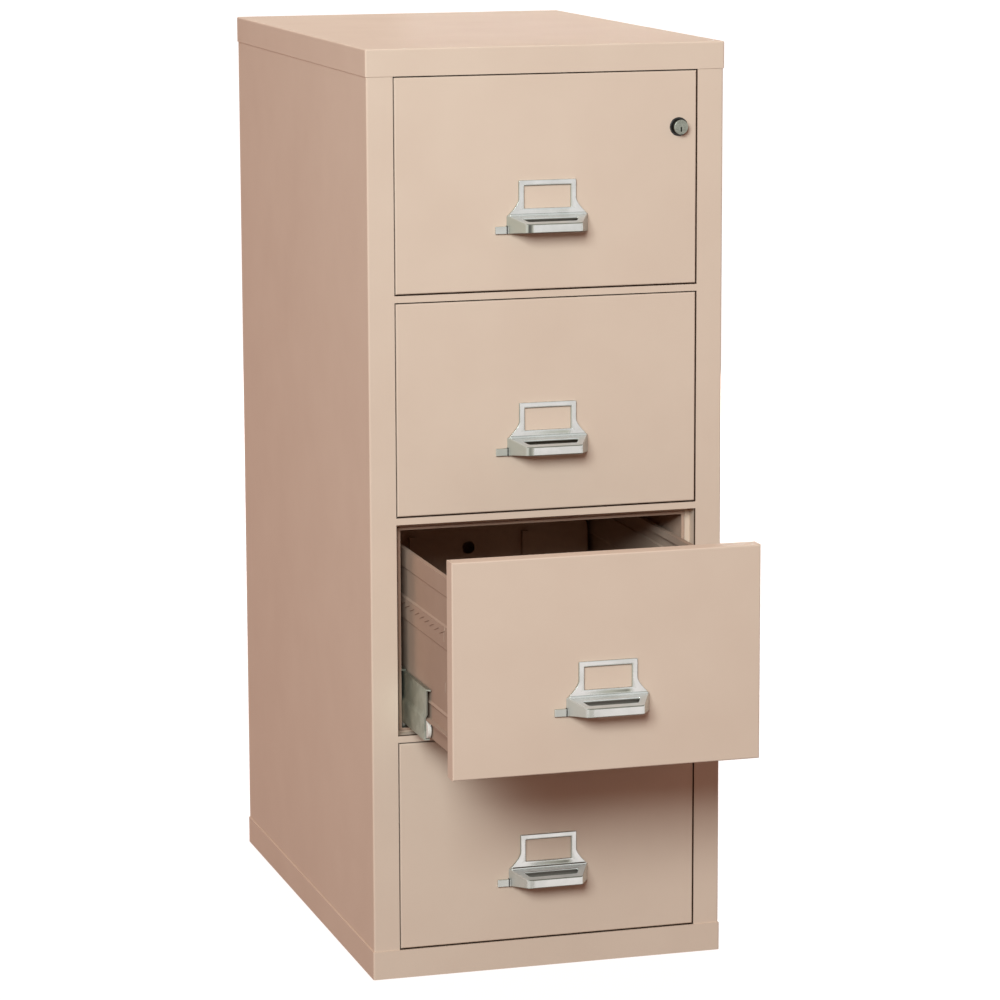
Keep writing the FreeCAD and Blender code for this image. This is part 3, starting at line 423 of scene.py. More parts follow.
# %% Enamel
cloud_per_metre = 9.0
cloud_range = (0.25, 0.75)
patch_per_metre = 2.6
patch_range = (0.35, 0.70)
patch_roughness = (-0.03, 0.04)
peel_per_metre = 620.0
peel_depth = 0.06 * MM
grain_per_metre = 2400.0
grain_depth = 0.01 * MM
coat_weight = 0.07
coat_roughness = 0.30
enamel_list = [
    # name, colour, the same where the coat is thick, roughness
    ("beige_enamel", linear(221, 203, 184), linear(217, 198, 179), 0.44),
    # The tubs and the liners are darker than the shell: painted shade for the inside of the cabinet.
    ("drawer_enamel", linear(179, 158, 141), linear(170, 149, 132), 0.48),
    ("shaded_liner_enamel", linear(196, 170, 150), linear(184, 157, 138), 0.52),
    ("follower_enamel", linear(190, 165, 146), linear(178, 152, 134), 0.50),
    ("jamb_enamel", linear(221, 203, 184), linear(217, 198, 179), 0.44),
]


def enamel(name, colour, deep, roughness):
    """Baked enamel with orange peel, soft clouds in its colour and worn patches in its gloss."""
    material, tree, shader = finish(name)
    clouds = remap(tree, noise(tree, cloud_per_metre, cloudy_detail), cloud_range)
    tree.links.new(blend_colours(tree, clouds, colour, deep), shader.inputs["Base Color"])
    patches = noise(tree, patch_per_metre, patchy_detail)
    worn = remap(tree, patches, patch_range, around(roughness, patch_roughness))
    tree.links.new(worn, shader.inputs["Roughness"])
    peel = relief(tree, shader, noise(tree, peel_per_metre, fine_detail), peel_depth)
    relief(tree, shader, noise(tree, grain_per_metre, slight_detail), grain_depth, peel)
    shader.inputs["Specular IOR Level"].default_value = 0.0
    shader.inputs["Coat Weight"].default_value = coat_weight
    shader.inputs["Coat Roughness"].default_value = coat_roughness
    return material


paint, shaded_tub_paint, liner_paint, block_paint, jamb_paint = [enamel(*row) for row in enamel_list]
print("enamels", [row[0] for row in enamel_list])

# %% [markdown]
# ## Zinc
# The telescoping cradles are galvanised, and zinc freezes in flakes the size of a fingernail, each
# with its own grey. A picture of zinc would have to be unwrapped and would repeat, while Voronoi cells
# give such flakes on any shape.

# %% Zinc
spangle_per_metre = 95.0
zinc_light = linear(160, 165, 154)
zinc_dark = linear(143, 149, 137)
zinc_metallic = 0.85
zinc_roughness = (0.40, 0.48)
zinc_grain_per_metre = 900.0
zinc_grain_depth = 0.04 * MM


def galvanised(name):
    """Zinc with flakes of different greys and roughness."""
    material, tree, shader = finish(name, zinc_metallic)
    cells = tree.nodes.new("ShaderNodeTexVoronoi")
    cells.inputs["Scale"].default_value = spangle_per_metre
    tree.links.new(place_of(tree), cells.inputs["Vector"])
    flake = tree.nodes.new("ShaderNodeSeparateColor")
    tree.links.new(cells.outputs["Color"], flake.inputs["Color"])
    colour = blend_colours(tree, flake.outputs["Red"], zinc_light, zinc_dark)
    tree.links.new(colour, shader.inputs["Base Color"])
    rough = remap(tree, flake.outputs["Green"], (0.0, 1.0), zinc_roughness)
    tree.links.new(rough, shader.inputs["Roughness"])
    relief(tree, shader, noise(tree, zinc_grain_per_metre, fine_detail), zinc_grain_depth)
    return material


zinc = galvanised("galvanised_steel")
print("zinc", zinc.name, "with", spangle_per_metre, "flakes to the metre")

# %% [markdown]
# ## Chrome
# The pulls and the thumb latches are chromed: a mirror with faint clouds and fine rubbing marks along
# its width. Each point of a chromed piece keeps two numbers of its own: the tone, painted reflection
# and painted shade, turns its colour to grey and then to black, and the haze takes the mirror from it.

# %% Chrome
chrome_bright = linear(209, 212, 210)
chrome_clouded = linear(192, 196, 193)
# Grey and black are painted reflection and painted shade, which the tone brings in.
chrome_grey = linear(168, 171, 158)
chrome_black = linear(38, 38, 34)
chrome_cloud_per_metre = 40.0
chrome_cloud_range = (0.35, 0.75)
grey_tones = (0.0, 0.6)
black_tones = (0.6, 1.0)
haze_roughness = 0.30
mark_per_metre = 1600.0
mark_stretch = (0.12, 1.0, 1.0)
mark_range = (0.3, 0.8)
mark_roughness = (0.06, 0.17)
wave_per_metre = 160.0
wave_depth = 0.03 * MM


def chrome_colour(tree, tone):
    """Bright and clouded where the tone is 0, grey at the end of grey_tones, black at 1."""
    clouds = noise(tree, chrome_cloud_per_metre, cloudy_detail)
    clouds = remap(tree, clouds, chrome_cloud_range)
    bright = blend_colours(tree, clouds, chrome_bright, chrome_clouded)
    greyed = blend_colours(tree, remap(tree, tone, grey_tones), bright, chrome_grey)
    return blend_colours(tree, remap(tree, tone, black_tones), greyed, chrome_black)


def chromed(name):
    """Chrome with rubbing marks, coloured by the tone and dulled by the haze that its points keep."""
    material, tree, shader = finish(name)
    haze = kept_number(tree, "haze")
    tree.links.new(chrome_colour(tree, kept_number(tree, "tone")), shader.inputs["Base Color"])
    tree.links.new(calculate(tree, "SUBTRACT", 1.0, haze), shader.inputs["Metallic"])
    marks = noise(tree, mark_per_metre, usual_detail, mark_stretch)
    marks = remap(tree, marks, mark_range, mark_roughness)
    rough = calculate(tree, "ADD", marks, calculate(tree, "MULTIPLY", haze, haze_roughness))
    tree.links.new(rough, shader.inputs["Roughness"])
    relief(tree, shader, noise(tree, wave_per_metre, fine_detail), wave_depth)
    return material


chrome = chromed("bright_chrome")
print("chrome", chrome.name, "black from tone", black_tones[1])

# %% [markdown]
# ## Moulded and cast stuff
# The lock's bezel is black lacquer, the rollers are nylon and the insulation is cast. Each is one
# plain stuff with faint spots and a grain, because a surface that is the same all over looks like none
# that was ever made. The three differ only in their numbers, so one function and a table make them.

# %% Moulded and cast stuff
solid_range = (0.3, 0.7)
solid_spread = (-0.05, 0.08)
solid_list = [
    # name, light colour, dark colour, roughness, spots to the metre, depth of the grain
    ("black_lacquer_and_gap_shade", linear(30, 27, 24), linear(20, 18, 16), 0.34, 1500.0, 0.02 * MM),
    ("white_nylon", linear(232, 231, 224), linear(220, 218, 208), 0.42, 600.0, 0.03 * MM),
    ("cast_insulation", linear(226, 221, 209), linear(205, 199, 186), 0.85, 240.0, 0.6 * MM),
]


def plain_solid(name, light, dark, roughness, spots_per_metre, depth):
    """Moulded or cast stuff: two near tones in spots, and a grain of the same size."""
    material, tree, shader = finish(name)
    pattern = noise(tree, spots_per_metre, patchy_detail)
    colour = blend_colours(tree, remap(tree, pattern, solid_range), light, dark)
    tree.links.new(colour, shader.inputs["Base Color"])
    rough = remap(tree, pattern, solid_range, around(roughness, solid_spread))
    tree.links.new(rough, shader.inputs["Roughness"])
    relief(tree, shader, pattern, depth)
    return material


black, nylon, plaster = [plain_solid(*row) for row in solid_list]
print("solid stuff", [row[0] for row in solid_list])

# %% [markdown]
# ## The lock's face and the seams
# The lock's face is bead-blasted metal that turns black just behind its front. The jambs have a narrow
# dark strip behind the front, painted shade that deepens the seam round each drawer. Thin extra pieces
# could stand for both, but a finish that darkens by how far back a point lies fits any shape.

# %% The lock's face and the seams
satin_metallic = 0.9
satin_roughness = 0.36
satin_light = linear(150, 153, 142)
satin_dark = linear(120, 124, 113)
satin_spot_per_metre = 700.0
satin_spot_range = (0.35, 0.65)
satin_patch_per_metre = 260.0
satin_patch_range = (0.3, 0.7)
satin_spread = (-0.06, 0.08)
pit_per_metre = 1800.0
pit_depth = 0.03 * MM
lock_black = linear(34, 34, 30)
lock_black_starts = 0.45 * MM
lock_black_ends = 0.9 * MM
# Colour and place of the painted shade in the seams round the drawers.
seam_shade = linear(84, 66, 54)
seam_starts = 0.6 * MM
seam_ends = 7.0 * MM
seam_fade = 0.8 * MM


def satin_metal(name):
    """Bead-blasted metal with fine pits and a soft sheen."""
    material, tree, shader = finish(name, satin_metallic)
    spots = remap(tree, noise(tree, satin_spot_per_metre, cloudy_detail), satin_spot_range)
    tree.links.new(blend_colours(tree, spots, satin_light, satin_dark), shader.inputs["Base Color"])
    patches = noise(tree, satin_patch_per_metre)
    rough = remap(tree, patches, satin_patch_range, around(satin_roughness, satin_spread))
    tree.links.new(rough, shader.inputs["Roughness"])
    relief(tree, shader, noise(tree, pit_per_metre, fine_detail), pit_depth)
    return material


def y_of(tree):
    """How far back a point lies."""
    axes = tree.nodes.new("ShaderNodeSeparateXYZ")
    tree.links.new(place_of(tree), axes.inputs["Vector"])
    return axes.outputs["Y"]


def darken(material, mask, dark):
    """Blends a material's colour into a dark one by a mask."""
    tree = material.node_tree
    socket = tree.nodes["Principled BSDF"].inputs["Base Color"]
    tree.links.new(blend_colours(tree, mask, socket.links[0].from_socket, dark), socket)


def blacken_lock(material, face_y):
    """Turns a material black a little behind the lock's face."""
    tree = material.node_tree
    behind = remap(tree, y_of(tree), (face_y + lock_black_starts, face_y + lock_black_ends))
    darken(material, behind, lock_black)


def paint_seam_shade(material, face_y):
    """Paints shade over a narrow strip just behind the cabinet's front, by darkening a material."""
    tree = material.node_tree
    y, start, end = y_of(tree), face_y + seam_starts, face_y + seam_ends
    behind = remap(tree, y, (start, start + seam_fade))
    before = remap(tree, y, (end, end + seam_fade), (1.0, 0.0))
    darken(material, calculate(tree, "MULTIPLY", behind, before), seam_shade)


lock_face = satin_metal("lock_satin")
blacken_lock(lock_face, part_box("lock_plunger")[0].y)
paint_seam_shade(jamb_paint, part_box("front_frame")[0].y)
print(lock_face.name, "and", jamb_paint.name, "darken behind the front")

# %% [markdown]
# The record of the model names the finish of every node, so one table from slot to material dresses
# all the nodes. Only the frame round the drawers has an enamel of its own, for the shade painted into
# its seams.

# %% Dress the imported nodes
slot_material = {
    "paint": paint,
    "drawer_paint": shaded_tub_paint,
    "liner_paint": liner_paint,
    "follower_paint": block_paint,
    "insulation": plaster,
    "zinc_steel": zinc,
    "black_bezel": black,
    "lock_metal": lock_face,
    "chrome": chrome,
    "nylon": nylon,
}
node_slot = {part["node"]: part["material_slot"] for part in frame["record"]["subparts"]}
for name, node in nodes.items():
    material = jamb_paint if name == "front_frame" else slot_material[node_slot[name]]
    node.data.materials.clear()
    node.data.materials.append(material)
print("dressed", len(nodes), "nodes")

# %% [markdown]
# ## Chromed pulls
# A pull is three forms that run into each other: a flat frame for the label, whose sides flare like a
# bell above the crease; a round bead along the crease; and a hollow body that narrows to the front,
# with a slot through its deck and a pocket below for the fingers. It could be cut out of a block with
# booleans, but those leave sharp edges and uneven faces, and chrome shows both. So each form is a shell
# of even rings. All sizes are counted as `across` from the middle, `out` from the drawer's face and as
# a `drop` below the frame's top.

# %% Sizes of a pull
frame_half = 42.5 * MM
frame_thickness = 3.2 * MM
flare_drop = 27.0 * MM
crease_drop = 49.6 * MM
crease_half = 59.0 * MM
flare_power = 1.5
window_half = 34.5 * MM
window_drop = 7.8 * MM
window_height = 32.0 * MM
window_bevel = 1.3 * MM
window_corner = 0.8 * MM
frame_edge = 1.3 * MM
frame_corner = 2.2 * MM
bead_radius = 2.5 * MM
bead_half = 57.5 * MM
reach = 38.0 * MM
wall_half = 60.5 * MM
bar_half = 41.0 * MM
bar_bend = 4.2 * MM
bar_wall = 5.5 * MM
side_wall = 4.0 * MM
deck_drop_in_front = 58.6 * MM
deck_thickness = 3.0 * MM
deck_side = 11.0 * MM
slot_back = 14.5 * MM
slot_front = 28.0 * MM
slot_corner = 3.0 * MM
foot_drop = 75.1 * MM
foot_rise = 4.0 * MM
body_edge = 1.6 * MM
foot_edge = 1.2 * MM
print("a pull reaches out by", reach, "and hangs down by", foot_drop)

# %% [markdown]
# Frame and body are both rings with a profile. Two outlines are drawn with the same number of points,
# the inner and the outer one, and each pair of points is a spoke. The profile is carried round on
# those spokes. Each outline is four sides joined by short curves, so that the corners of both line up.

# %% Outlines with four sides
side_points = 24


def corner_curve(before, corner, after):
    """Curve from one side's end to the next side's start: (1 - t)^2 a + 2 t (1 - t) c + t^2 b."""
    t = np.linspace(0, 1, corner_points)[:, None]
    return (1 - t) ** 2 * before + 2 * t * (1 - t) * corner + t ** 2 * after


def outline(sides, corners):
    """Closed outline of four sides with a curve at each corner, as (points, 2)."""
    parts = []
    for number in range(4):
        following = sides[(number + 1) % 4]
        curve = corner_curve(sides[number][-1], corners[number], following[0])
        parts += [sides[number][:-1], curve[:-1]]
    return np.vstack(parts)


def straight(start, end):
    """Side of evenly spaced points: (1 - t) start + t end."""
    t = np.linspace(0, 1, side_points)[:, None]
    return (1 - t) * np.array(start) + t * np.array(end)


def four_sided(corners, cuts):
    """Outline of a four-cornered figure whose sides stop short of each corner by its cut."""
    corners = np.array(corners, float)
    following = np.roll(corners, -1, 0)
    way = following - corners
    way /= np.linalg.norm(way, axis=1, keepdims=True)
    rows = zip(corners, following, way, cuts, np.roll(cuts, -1))
    sides = [straight(start + near * one, end - far * one) for start, end, one, near, far in rows]
    return outline(sides, following)


def spokes(inner, outer):
    """Unit vectors from each inner point to its outer one."""
    way = outer - inner
    return way / np.linalg.norm(way, axis=1, keepdims=True)


# %% [markdown]
# The frame's profile goes up the inner wall, over a bevel, across the flat, round the outer edge and
# back. The flat has a few rings of its own, so that a tone can be painted on it later.

# %% Label frame
flat_shares = (0.25, 0.5, 0.75)


def window_outline(top):
    """Rectangle of the label window, from its top left corner clockwise."""
    high, low = top - window_drop, top - window_drop - window_height
    corners = [(-window_half, high), (window_half, high), (window_half, low), (-window_half, low)]
    return four_sided(corners, [window_corner] * 4)


def flared_half(drop):
    """Half width of the plate at a drop below its top: straight first, and then growing with the
    share of the flare to the power of one and a half."""
    share = np.clip((drop - flare_drop) / (crease_drop - flare_drop), 0, 1)
    return frame_half + (crease_half - frame_half) * share ** flare_power


def plate_outline(top):
    """Outline of the plate with its flared sides, from its top left corner clockwise."""
    drop = frame_corner + np.linspace(0, 1, side_points) * (crease_drop - frame_corner)
    flank = np.stack([flared_half(drop), top - drop], -1)
    foot = top - crease_drop
    foot_half, foot_level = crease_half - frame_edge, foot - frame_edge
    sides = [
        straight((-frame_half + frame_corner, top), (frame_half - frame_corner, top)),
        flank,
        straight((foot_half, foot_level), (-foot_half, foot_level)),
        (flank * (-1, 1))[::-1],
    ]
    corners = [(frame_half, top), (crease_half, foot - frame_edge / 2),
               (-crease_half, foot - frame_edge / 2), (-frame_half, top)]
    return outline(sides, np.array(corners))


def label_frame(top, wall_y):
    """Frame whose profile runs on spokes from the window's outline to the plate's."""
    inner, outer = window_outline(top), plate_outline(top)
    spoke = spokes(inner, outer)
    flat_start, flat_end = inner + spoke * window_bevel, outer - spoke * frame_edge
    rows = [(inner, 0.0), (inner, frame_thickness - window_bevel),
            (inner + spoke * window_bevel / 3, frame_thickness - window_bevel / 3),
            (flat_start, frame_thickness)]
    rows += [(flat_start + (flat_end - flat_start) * share, frame_thickness) for share in flat_shares]
    edge = arc((-frame_edge, frame_thickness - frame_edge), frame_edge, 90, 0)
    rows += [(outer + spoke * shift, out) for shift, out in edge]
    rows += [(outer, 0.0)]
    rings = np.empty((len(rows), len(inner), 3))
    for ring, (place, out) in zip(rings, rows):
        ring[:, 0] = place[:, 0]
        ring[:, 1] = wall_y - out
        ring[:, 2] = place[:, 1]
    return shell(rings, "joined")


# %% [markdown]
# The body is the same kind of ring, seen from above. Its inner outline is the slot in the deck, and its
# outer one is the plan of the whole pull. The profile starts at the slot's edge, which is half round,
# crosses the deck, turns down over the outer wall, goes round the foot, climbs the wall of the pocket
# and comes back below the deck. Deck and foot slope, so each height depends on how far out it lies.

# %% Body of the pull
lip_points = 9


def half_at(out):
    """Half width of the body so far out from the drawer's face: it narrows evenly to the front."""
    return wall_half + (bar_half - wall_half) * out / reach


def body_outlines():
    """The slot's outline and the body's, seen from above, from the back left corner."""
    slot_halves = half_at(np.array([slot_back, slot_front])) - deck_side
    slot = [(-slot_halves[0], slot_back), (slot_halves[0], slot_back),
            (slot_halves[1], slot_front), (-slot_halves[1], slot_front)]
    plan = [(-wall_half, 0.0), (wall_half, 0.0), (bar_half, reach), (-bar_half, reach)]
    slot_outline = four_sided(slot, [slot_corner] * 4)
    return slot_outline, four_sided(plan, [frame_edge, frame_edge, bar_bend, bar_bend])


def deck_drop(out):
    """Drop of the deck's top: level over the frame's thickness, and then an even fall."""
    share = np.clip((out - frame_thickness) / (reach - frame_thickness), 0, 1)
    return crease_drop + (deck_drop_in_front - crease_drop) * share


def foot_drop_at(out):
    """Drop of the foot, which rises evenly towards the front."""
    return foot_drop - foot_rise * out / reach


def bend_rows(base, spoke, height, centre, radius, start, end, points=arc_points):
    """Rows of a bend, whose arc runs out along the spokes from the base and up from a height."""
    return [(base + spoke * x, height, z) for x, z in arc(centre, radius, start, end, points)]


def wall_of(out):
    """Thickness of the body's wall: that of the sides, and more towards the front bar."""
    return np.interp(out, (0, reach - bar_bend, reach), (side_wall, side_wall, bar_wall))


def body_rows(slot, plan):
    """Rows of the profile: places in plan, which height they follow, and how far above it they lie."""
    spoke = spokes(slot, plan)
    lip = deck_thickness / 2
    rows = bend_rows(slot, spoke, deck_drop, (lip, -lip), lip, 270, 90, lip_points)
    flat_start, flat_end = slot + spoke * lip, plan - spoke * body_edge
    rows += [(flat_start + (flat_end - flat_start) * share, deck_drop, 0.0) for share in flat_shares]
    rows += bend_rows(plan, spoke, deck_drop, (-body_edge, -body_edge), body_edge, 90, 0)
    rows += bend_rows(plan, spoke, foot_drop_at, (-foot_edge, foot_edge), foot_edge, 0, -90)
    inner = plan - spoke * wall_of(plan[:, 1])[:, None]
    rows += bend_rows(inner, spoke, foot_drop_at, (foot_edge, foot_edge), foot_edge, 270, 180)
    rows += [(inner, deck_drop, -deck_thickness)]
    return rows


def pull_body(top, wall_y):
    """Hollow body of the pull, one closed ring from the slot to the outer wall and back."""
    slot, plan = body_outlines()
    rows = body_rows(slot, plan)
    rings = np.empty((len(rows), len(slot), 3))
    for ring, (place, height, above) in zip(rings, rows):
        ring[:, 0] = place[:, 0]
        ring[:, 1] = wall_y - place[:, 1]
        ring[:, 2] = top - height(place[:, 1]) + above
    return shell(rings, "joined")


# %% [markdown]
# The bead is a rod with a domed end on each side. It covers the crease where the frame's foot meets
# the deck, so that the three forms look like one casting. The finished pull stands in for the packed
# handle.

# %% Bead and the whole pull
dome_rings = 7
bead_points = 20
least_dome_share = 0.0004


def crease_bead(top, wall_y):
    """Round bead along the crease with a dome at each end: the radius there is
    r sqrt(1 - s^2), with s the share of the way into the dome."""
    share = np.sin(np.linspace(-math.pi / 2, math.pi / 2, 2 * dome_rings))
    left = -bead_half + bead_radius * (share[:dome_rings] + 1)
    right = bead_half + bead_radius * (share[dome_rings:] - 1)
    place = np.concatenate([left, right])
    radius = bead_radius * np.sqrt(np.clip(1 - share ** 2, least_dome_share, 1))
    radius[dome_rings - 1:dome_rings + 1] = bead_radius
    angle = np.linspace(0, 2 * math.pi, bead_points, endpoint=False)
    rings = np.empty((len(place), len(angle), 3))
    rings[..., 0] = place[:, None]
    rings[..., 1] = wall_y - frame_thickness + radius[:, None] * np.cos(angle)
    rings[..., 2] = top - crease_drop + radius[:, None] * np.sin(angle)
    return shell(rings)


def pull(number):
    """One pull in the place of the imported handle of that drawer."""
    hung_from = handle_box[number][1]
    shells = [form(hung_from.z, hung_from.y) for form in (label_frame, pull_body, crease_bead)]
    stands_for = ["handle_%d" % number]
    return piece("pull_%d" % number, shells, "drawer_%d" % number, chrome, stands_for)


pulls = {number: pull(number) for number in drawer_numbers}
print("vertices in one pull", len(pulls[1].data.vertices))

# %% [markdown]
# ## Tone and haze
# Chrome shows what is around it, and here that is a white studio. What a real pull mirrors, something
# dark where it looks down or sideways, and the shade in its hollows are painted into its colour as a
# tone from 0 to 1: painted reflection and painted shade. It is kept in an attribute of the mesh, which
# the chrome reads, because a painted picture would have to be unwrapped first. A second attribute keeps
# the haze, which grows with the tone.

# %% Numbers that chromed pieces keep
hazy_tones = (0.08, 0.34)
most_haze = 0.86


def points_of(mesh):
    """Places and normals of a mesh's vertices, as (points, 3) each."""
    place, normal = np.empty(len(mesh.vertices) * 3), np.empty(len(mesh.vertices) * 3)
    mesh.vertices.foreach_get("co", place)
    mesh.vertices.foreach_get("normal", normal)
    return place.reshape(-1, 3), normal.reshape(-1, 3)


def keep_numbers(mesh, name, values):
    """Keeps one number at each vertex of the mesh under a name."""
    kept = mesh.attributes.new(name, "FLOAT", "POINT")
    kept.data.foreach_set("value", values.astype(np.float32))


def haze_of(tone):
    """Haze that goes with a tone: none on bright chrome, and the most from mid grey on."""
    return np.interp(tone, hazy_tones, (0, most_haze))


# %% [markdown]
# The tone of a pull, its painted reflection and shade, comes from the way each point faces and from a
# few places: the trough above the bead, the pocket, and the edge and left corner of the front bar. Each
# gives a tone of its own, and the darkest one counts. The deck is worn dull all over, so it is hazy
# whatever its tone.

# %% Tone of a pull
# The tones below are painted reflection and painted shade, and most are set for each drawer's pull.
frame_left_tone = 0.72
frame_right_tone = 0.70
faces_left_tones = {1: 0.66, 2: 0.60, 3: 0.36, 4: 0.30}
faces_right_tones = {1: 0.40, 2: 0.36, 3: 0.20, 4: 0.16}
faces_down_tone = 0.90
faces_down_gain = 1.5
trough_tones = {1: 0.15, 2: 0.55, 3: 0.82, 4: 0.82}
trough_drops = (40.5 * MM, 42.0 * MM, 45.5 * MM, 47.0 * MM)
trough_places = (-36.0 * MM, 0.0, 28.8 * MM, 36.0 * MM)
trough_shares = (0.0, 0.7, 1.0, 0.0)
trough_out = 3.52 * MM
# The pocket is painted dark: painted shade inside the hollow.
pocket_tone = 0.82
deck_tone = 0.10
deck_slope = 0.8
bar_front_out = 36.08 * MM
upper_edge_tone = 0.85
upper_edge_slopes = (0.05, 0.3, 0.8, 0.98)
corner_patch_tones = {1: 0.95, 2: 0.80, 3: 0.35, 4: 0.30}
corner_patch_places = (0.0, 2.1 * MM, 7.0 * MM, 9.1 * MM)
corner_patch_shares = (0.3, 1.0, 1.0, 0.0)
corner_patch_slope = 0.5
deck_haze = 0.75


def band(value, places):
    """Rises from 0 to 1 over the first two places and falls back over the last two."""
    return np.interp(value, places, (0, 1, 1, 0))


def facing_tones(number, normal, on_frame):
    """Painted reflection: tones of what faces left, right and down, each times the normal's share in that
    direction.
    The frame's own tones differ from the body's."""
    left = np.where(on_frame, frame_left_tone, faces_left_tones[number])
    right = np.where(on_frame, frame_right_tone, faces_right_tones[number])
    down = faces_down_tone * np.clip(-normal[:, 2] * faces_down_gain, 0, 1)
    return [left * np.clip(-normal[:, 0], 0, 1), right * np.clip(normal[:, 0], 0, 1), down]


def trough_tone(number, across, out, drop):
    """Tone of the trough above the bead, a painted dark reflection: it grows to the right and ends before
    the frame does.
    """
    fade = np.interp(across, trough_places, trough_shares)
    return trough_tones[number] * band(drop, trough_drops) * fade * (out < trough_out)


def in_pocket(across, out, drop):
    """True inside the walls and the front bar, below the deck's top."""
    between_walls = np.abs(across) < half_at(out) - side_wall / 2
    behind_bar = out < reach - bar_wall / 2
    return between_walls & behind_bar & (drop > deck_drop(out) + deck_thickness / 3)


def bar_tones(number, across, out, slope):
    """Tones of the front bar's upper edge and of a patch at its left corner, both painted reflection."""
    on_bar = out > bar_front_out
    patch = np.interp(across + bar_half, corner_patch_places, corner_patch_shares)
    patch = patch * on_bar * (np.abs(slope) < corner_patch_slope)
    upper_edge = on_bar * band(slope, upper_edge_slopes)
    return [upper_edge_tone * upper_edge, corner_patch_tones[number] * patch]


def pull_tone(mesh, number, top, wall_y):
    """Tone of painted reflection and shade, and haze, at each vertex. The tone is the largest of what its
    facing and its place give.
    """
    place, normal = points_of(mesh)
    across, out, drop = place[:, 0], wall_y - place[:, 1], top - place[:, 2]
    slope = normal[:, 2]
    deck = (out > frame_thickness + bead_radius) & (slope > deck_slope)
    tones = facing_tones(number, normal, drop < crease_drop) + bar_tones(number, across, out, slope)
    tones += [trough_tone(number, across, out, drop), pocket_tone * in_pocket(across, out, drop)]
    tone = np.max(tones + [deck_tone * deck], axis=0)
    return tone, np.maximum(haze_of(tone), deck_haze * deck)


for number, made in pulls.items():
    hung_from = handle_box[number][1]
    tone, haze = pull_tone(made.data, number, hung_from.z, hung_from.y)
    keep_numbers(made.data, "tone", tone)
    keep_numbers(made.data, "haze", haze)
    print(made.name, "mean tone", round(float(tone.mean()), 2))

# %% [markdown]
# ## Thumb latches
# A flat chromed tab comes out of the pull's left side, close to the drawer. Behind it a square stem
# goes through the drawer head to a riser and a long bolt. All four are straight bars, so soft blocks
# make them well. The latch's tone is painted reflection: its level faces are greyer than the rest, and
# the more level a face, the greyer it is.

# %% Thumb latches
tab_height = 10.8 * MM
tab_thickness = 3.6 * MM
tab_edge = 1.1 * MM
stem_size = 6.0 * MM
bolt_height = 12.0 * MM
bolt_thickness = 5.0 * MM
bolt_edge = 0.6 * MM
tab_reach = 17.0 * MM
# Painted reflection: a grey for each drawer's tab, and more on level faces.
tab_tones = {1: 0.16, 2: 0.45, 3: 0.30, 4: 0.20}
tab_level_tone = 0.40
level_slopes = (2 / 7, 1.0)


def latch_blocks(low, high, tab_left):
    """Tab, stem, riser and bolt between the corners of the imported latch."""
    middle = low.z + tab_height / 2
    stem_low, stem_high = middle - stem_size / 2, middle + stem_size / 2
    stem_x, bolt_y = high.x - stem_size, high.y - bolt_thickness
    tab_high = (high.x, low.y + tab_thickness, low.z + tab_height)
    return [
        soft_block((tab_left, low.y, low.z), tab_high, tab_edge),
        soft_block((stem_x, low.y + tab_edge, stem_low), (high.x, high.y, stem_high), bolt_edge),
        soft_block((stem_x, bolt_y, stem_low), high, bolt_edge),
        soft_block((low.x, bolt_y, high.z - bolt_height), high, bolt_edge),
    ]


def thumb_latch(number):
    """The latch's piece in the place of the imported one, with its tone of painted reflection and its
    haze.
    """
    name = "thumb_latch_%d" % number
    low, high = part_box(name)
    shells = latch_blocks(low, high, handle_box[number][0].x - tab_reach)
    made = piece("latch_%d" % number, shells, name, chrome, [name])
    normal = points_of(made.data)[1]
    level = np.interp(np.abs(normal[:, 2]), level_slopes, (0, 1))
    tone = tab_tones[number] + tab_level_tone * level
    keep_numbers(made.data, "tone", tone)
    keep_numbers(made.data, "haze", haze_of(tone))
    return made


latches = [thumb_latch(number) for number in drawer_numbers]
print("latches", [made.name for made in latches])

# %% [markdown]
# Where the tab enters the pull, a thin black block stands for the shade in the gap: painted shade. A
# hole cut through the pull's wall would look the same and would make its rings uneven.

# %% Dark gaps round the tabs
mouth_gap = 0.9 * MM
mouth_depth = 0.5 * MM
mouth_out = 5.6 * MM


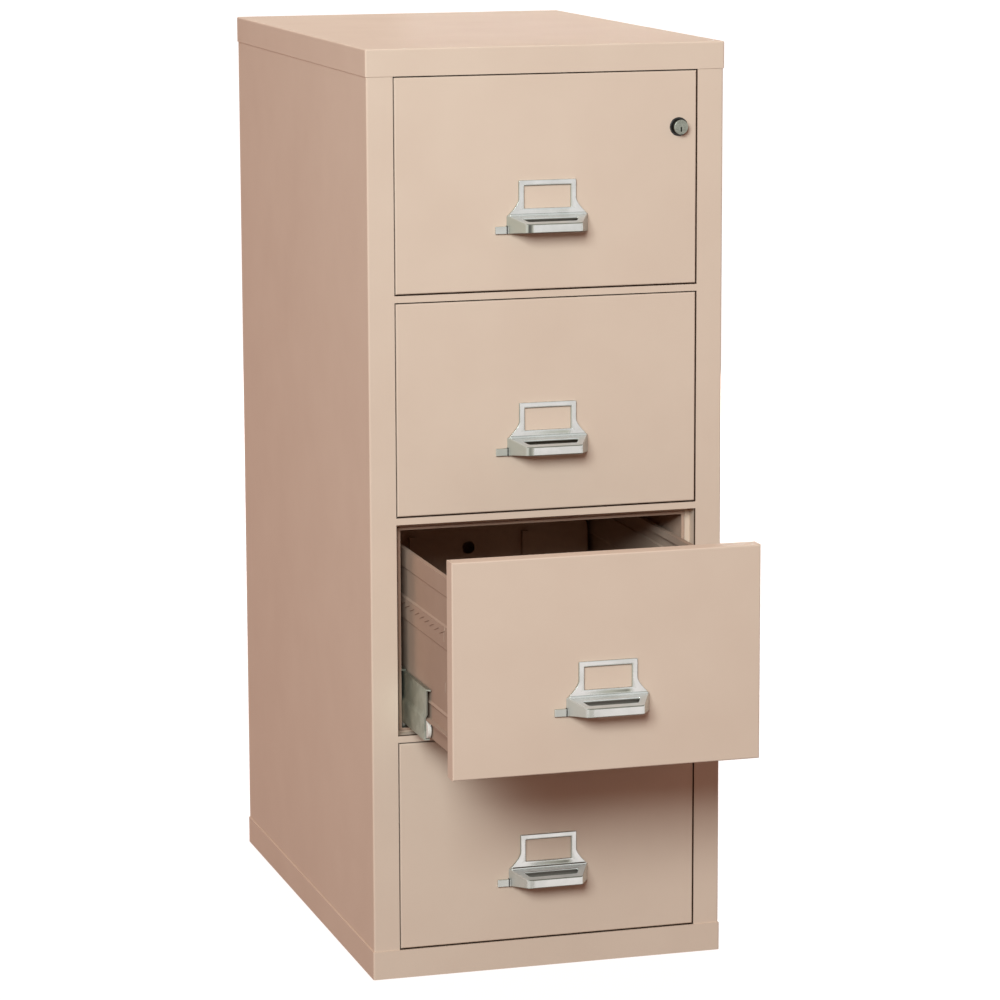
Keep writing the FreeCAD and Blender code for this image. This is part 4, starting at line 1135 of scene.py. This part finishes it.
def tab_mouth(number):
    """Thin black block of painted shade in the pull's left wall, a little larger than the tab that comes
    out of it.
    """
    tab_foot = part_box("thumb_latch_%d" % number)[0].z
    low, high = handle_box[number]
    corner = (low.x - mouth_depth, high.y - mouth_out, tab_foot)
    other = (low.x + mouth_gap, high.y, tab_foot + tab_height + mouth_gap)
    block = soft_block(corner, other, mouth_depth)
    return piece("tab_mouth_%d" % number, [block], "drawer_%d" % number, black)


mouths = [tab_mouth(number) for number in drawer_numbers]
print("mouths", [made.name for made in mouths])

# %% [markdown]
# ## The floor
# The cabinet stands on a plain pale floor that runs out of sight. To the camera the floor is white,
# except where the cabinet keeps the light from it: the floor is lit as any surface, and some light of
# its own is added for the rays that make the picture only. The lamps reach less far than the floor
# does, so that added light grows with the distance from the cabinet.

# %% Floor
floor_half = 60.0
floor_colour = (0.16, 0.09, 0.07)
floor_roughness = 0.9
lift_near = 0.93
lift_far = 0.99
lift_starts = 1.5
lift_ends = 9.0


def studio_floor():
    """Wide quad at the floor's height whose material adds a little light for the camera."""
    mesh = bpy.data.meshes.new("studio_floor")
    corners = np.array([(-1, -1), (1, -1), (1, 1), (-1, 1)]) * floor_half
    mesh.from_pydata([(x, y, 0.0) for x, y in corners], [], [(0, 1, 2, 3)])
    floor = bpy.data.objects.new("studio_floor", mesh)
    bpy.context.scene.collection.objects.link(floor)
    material, tree, shader = finish("studio_floor")
    shader.inputs["Base Color"].default_value = floor_colour + (1,)
    shader.inputs["Roughness"].default_value = floor_roughness
    distance = tree.nodes.new("ShaderNodeVectorMath")
    distance.operation = "LENGTH"
    tree.links.new(place_of(tree), distance.inputs[0])
    lift = remap(tree, distance.outputs["Value"], (lift_starts, lift_ends), (lift_near, lift_far))
    shader.inputs["Emission Color"].default_value = (1, 1, 1, 1)
    glow = calculate(tree, "MULTIPLY", picture_rays(tree), lift)
    tree.links.new(glow, shader.inputs["Emission Strength"])
    mesh.materials.append(material)
    return floor


floor = studio_floor()
print(floor.name, "reaches", floor_half, "m to each side")
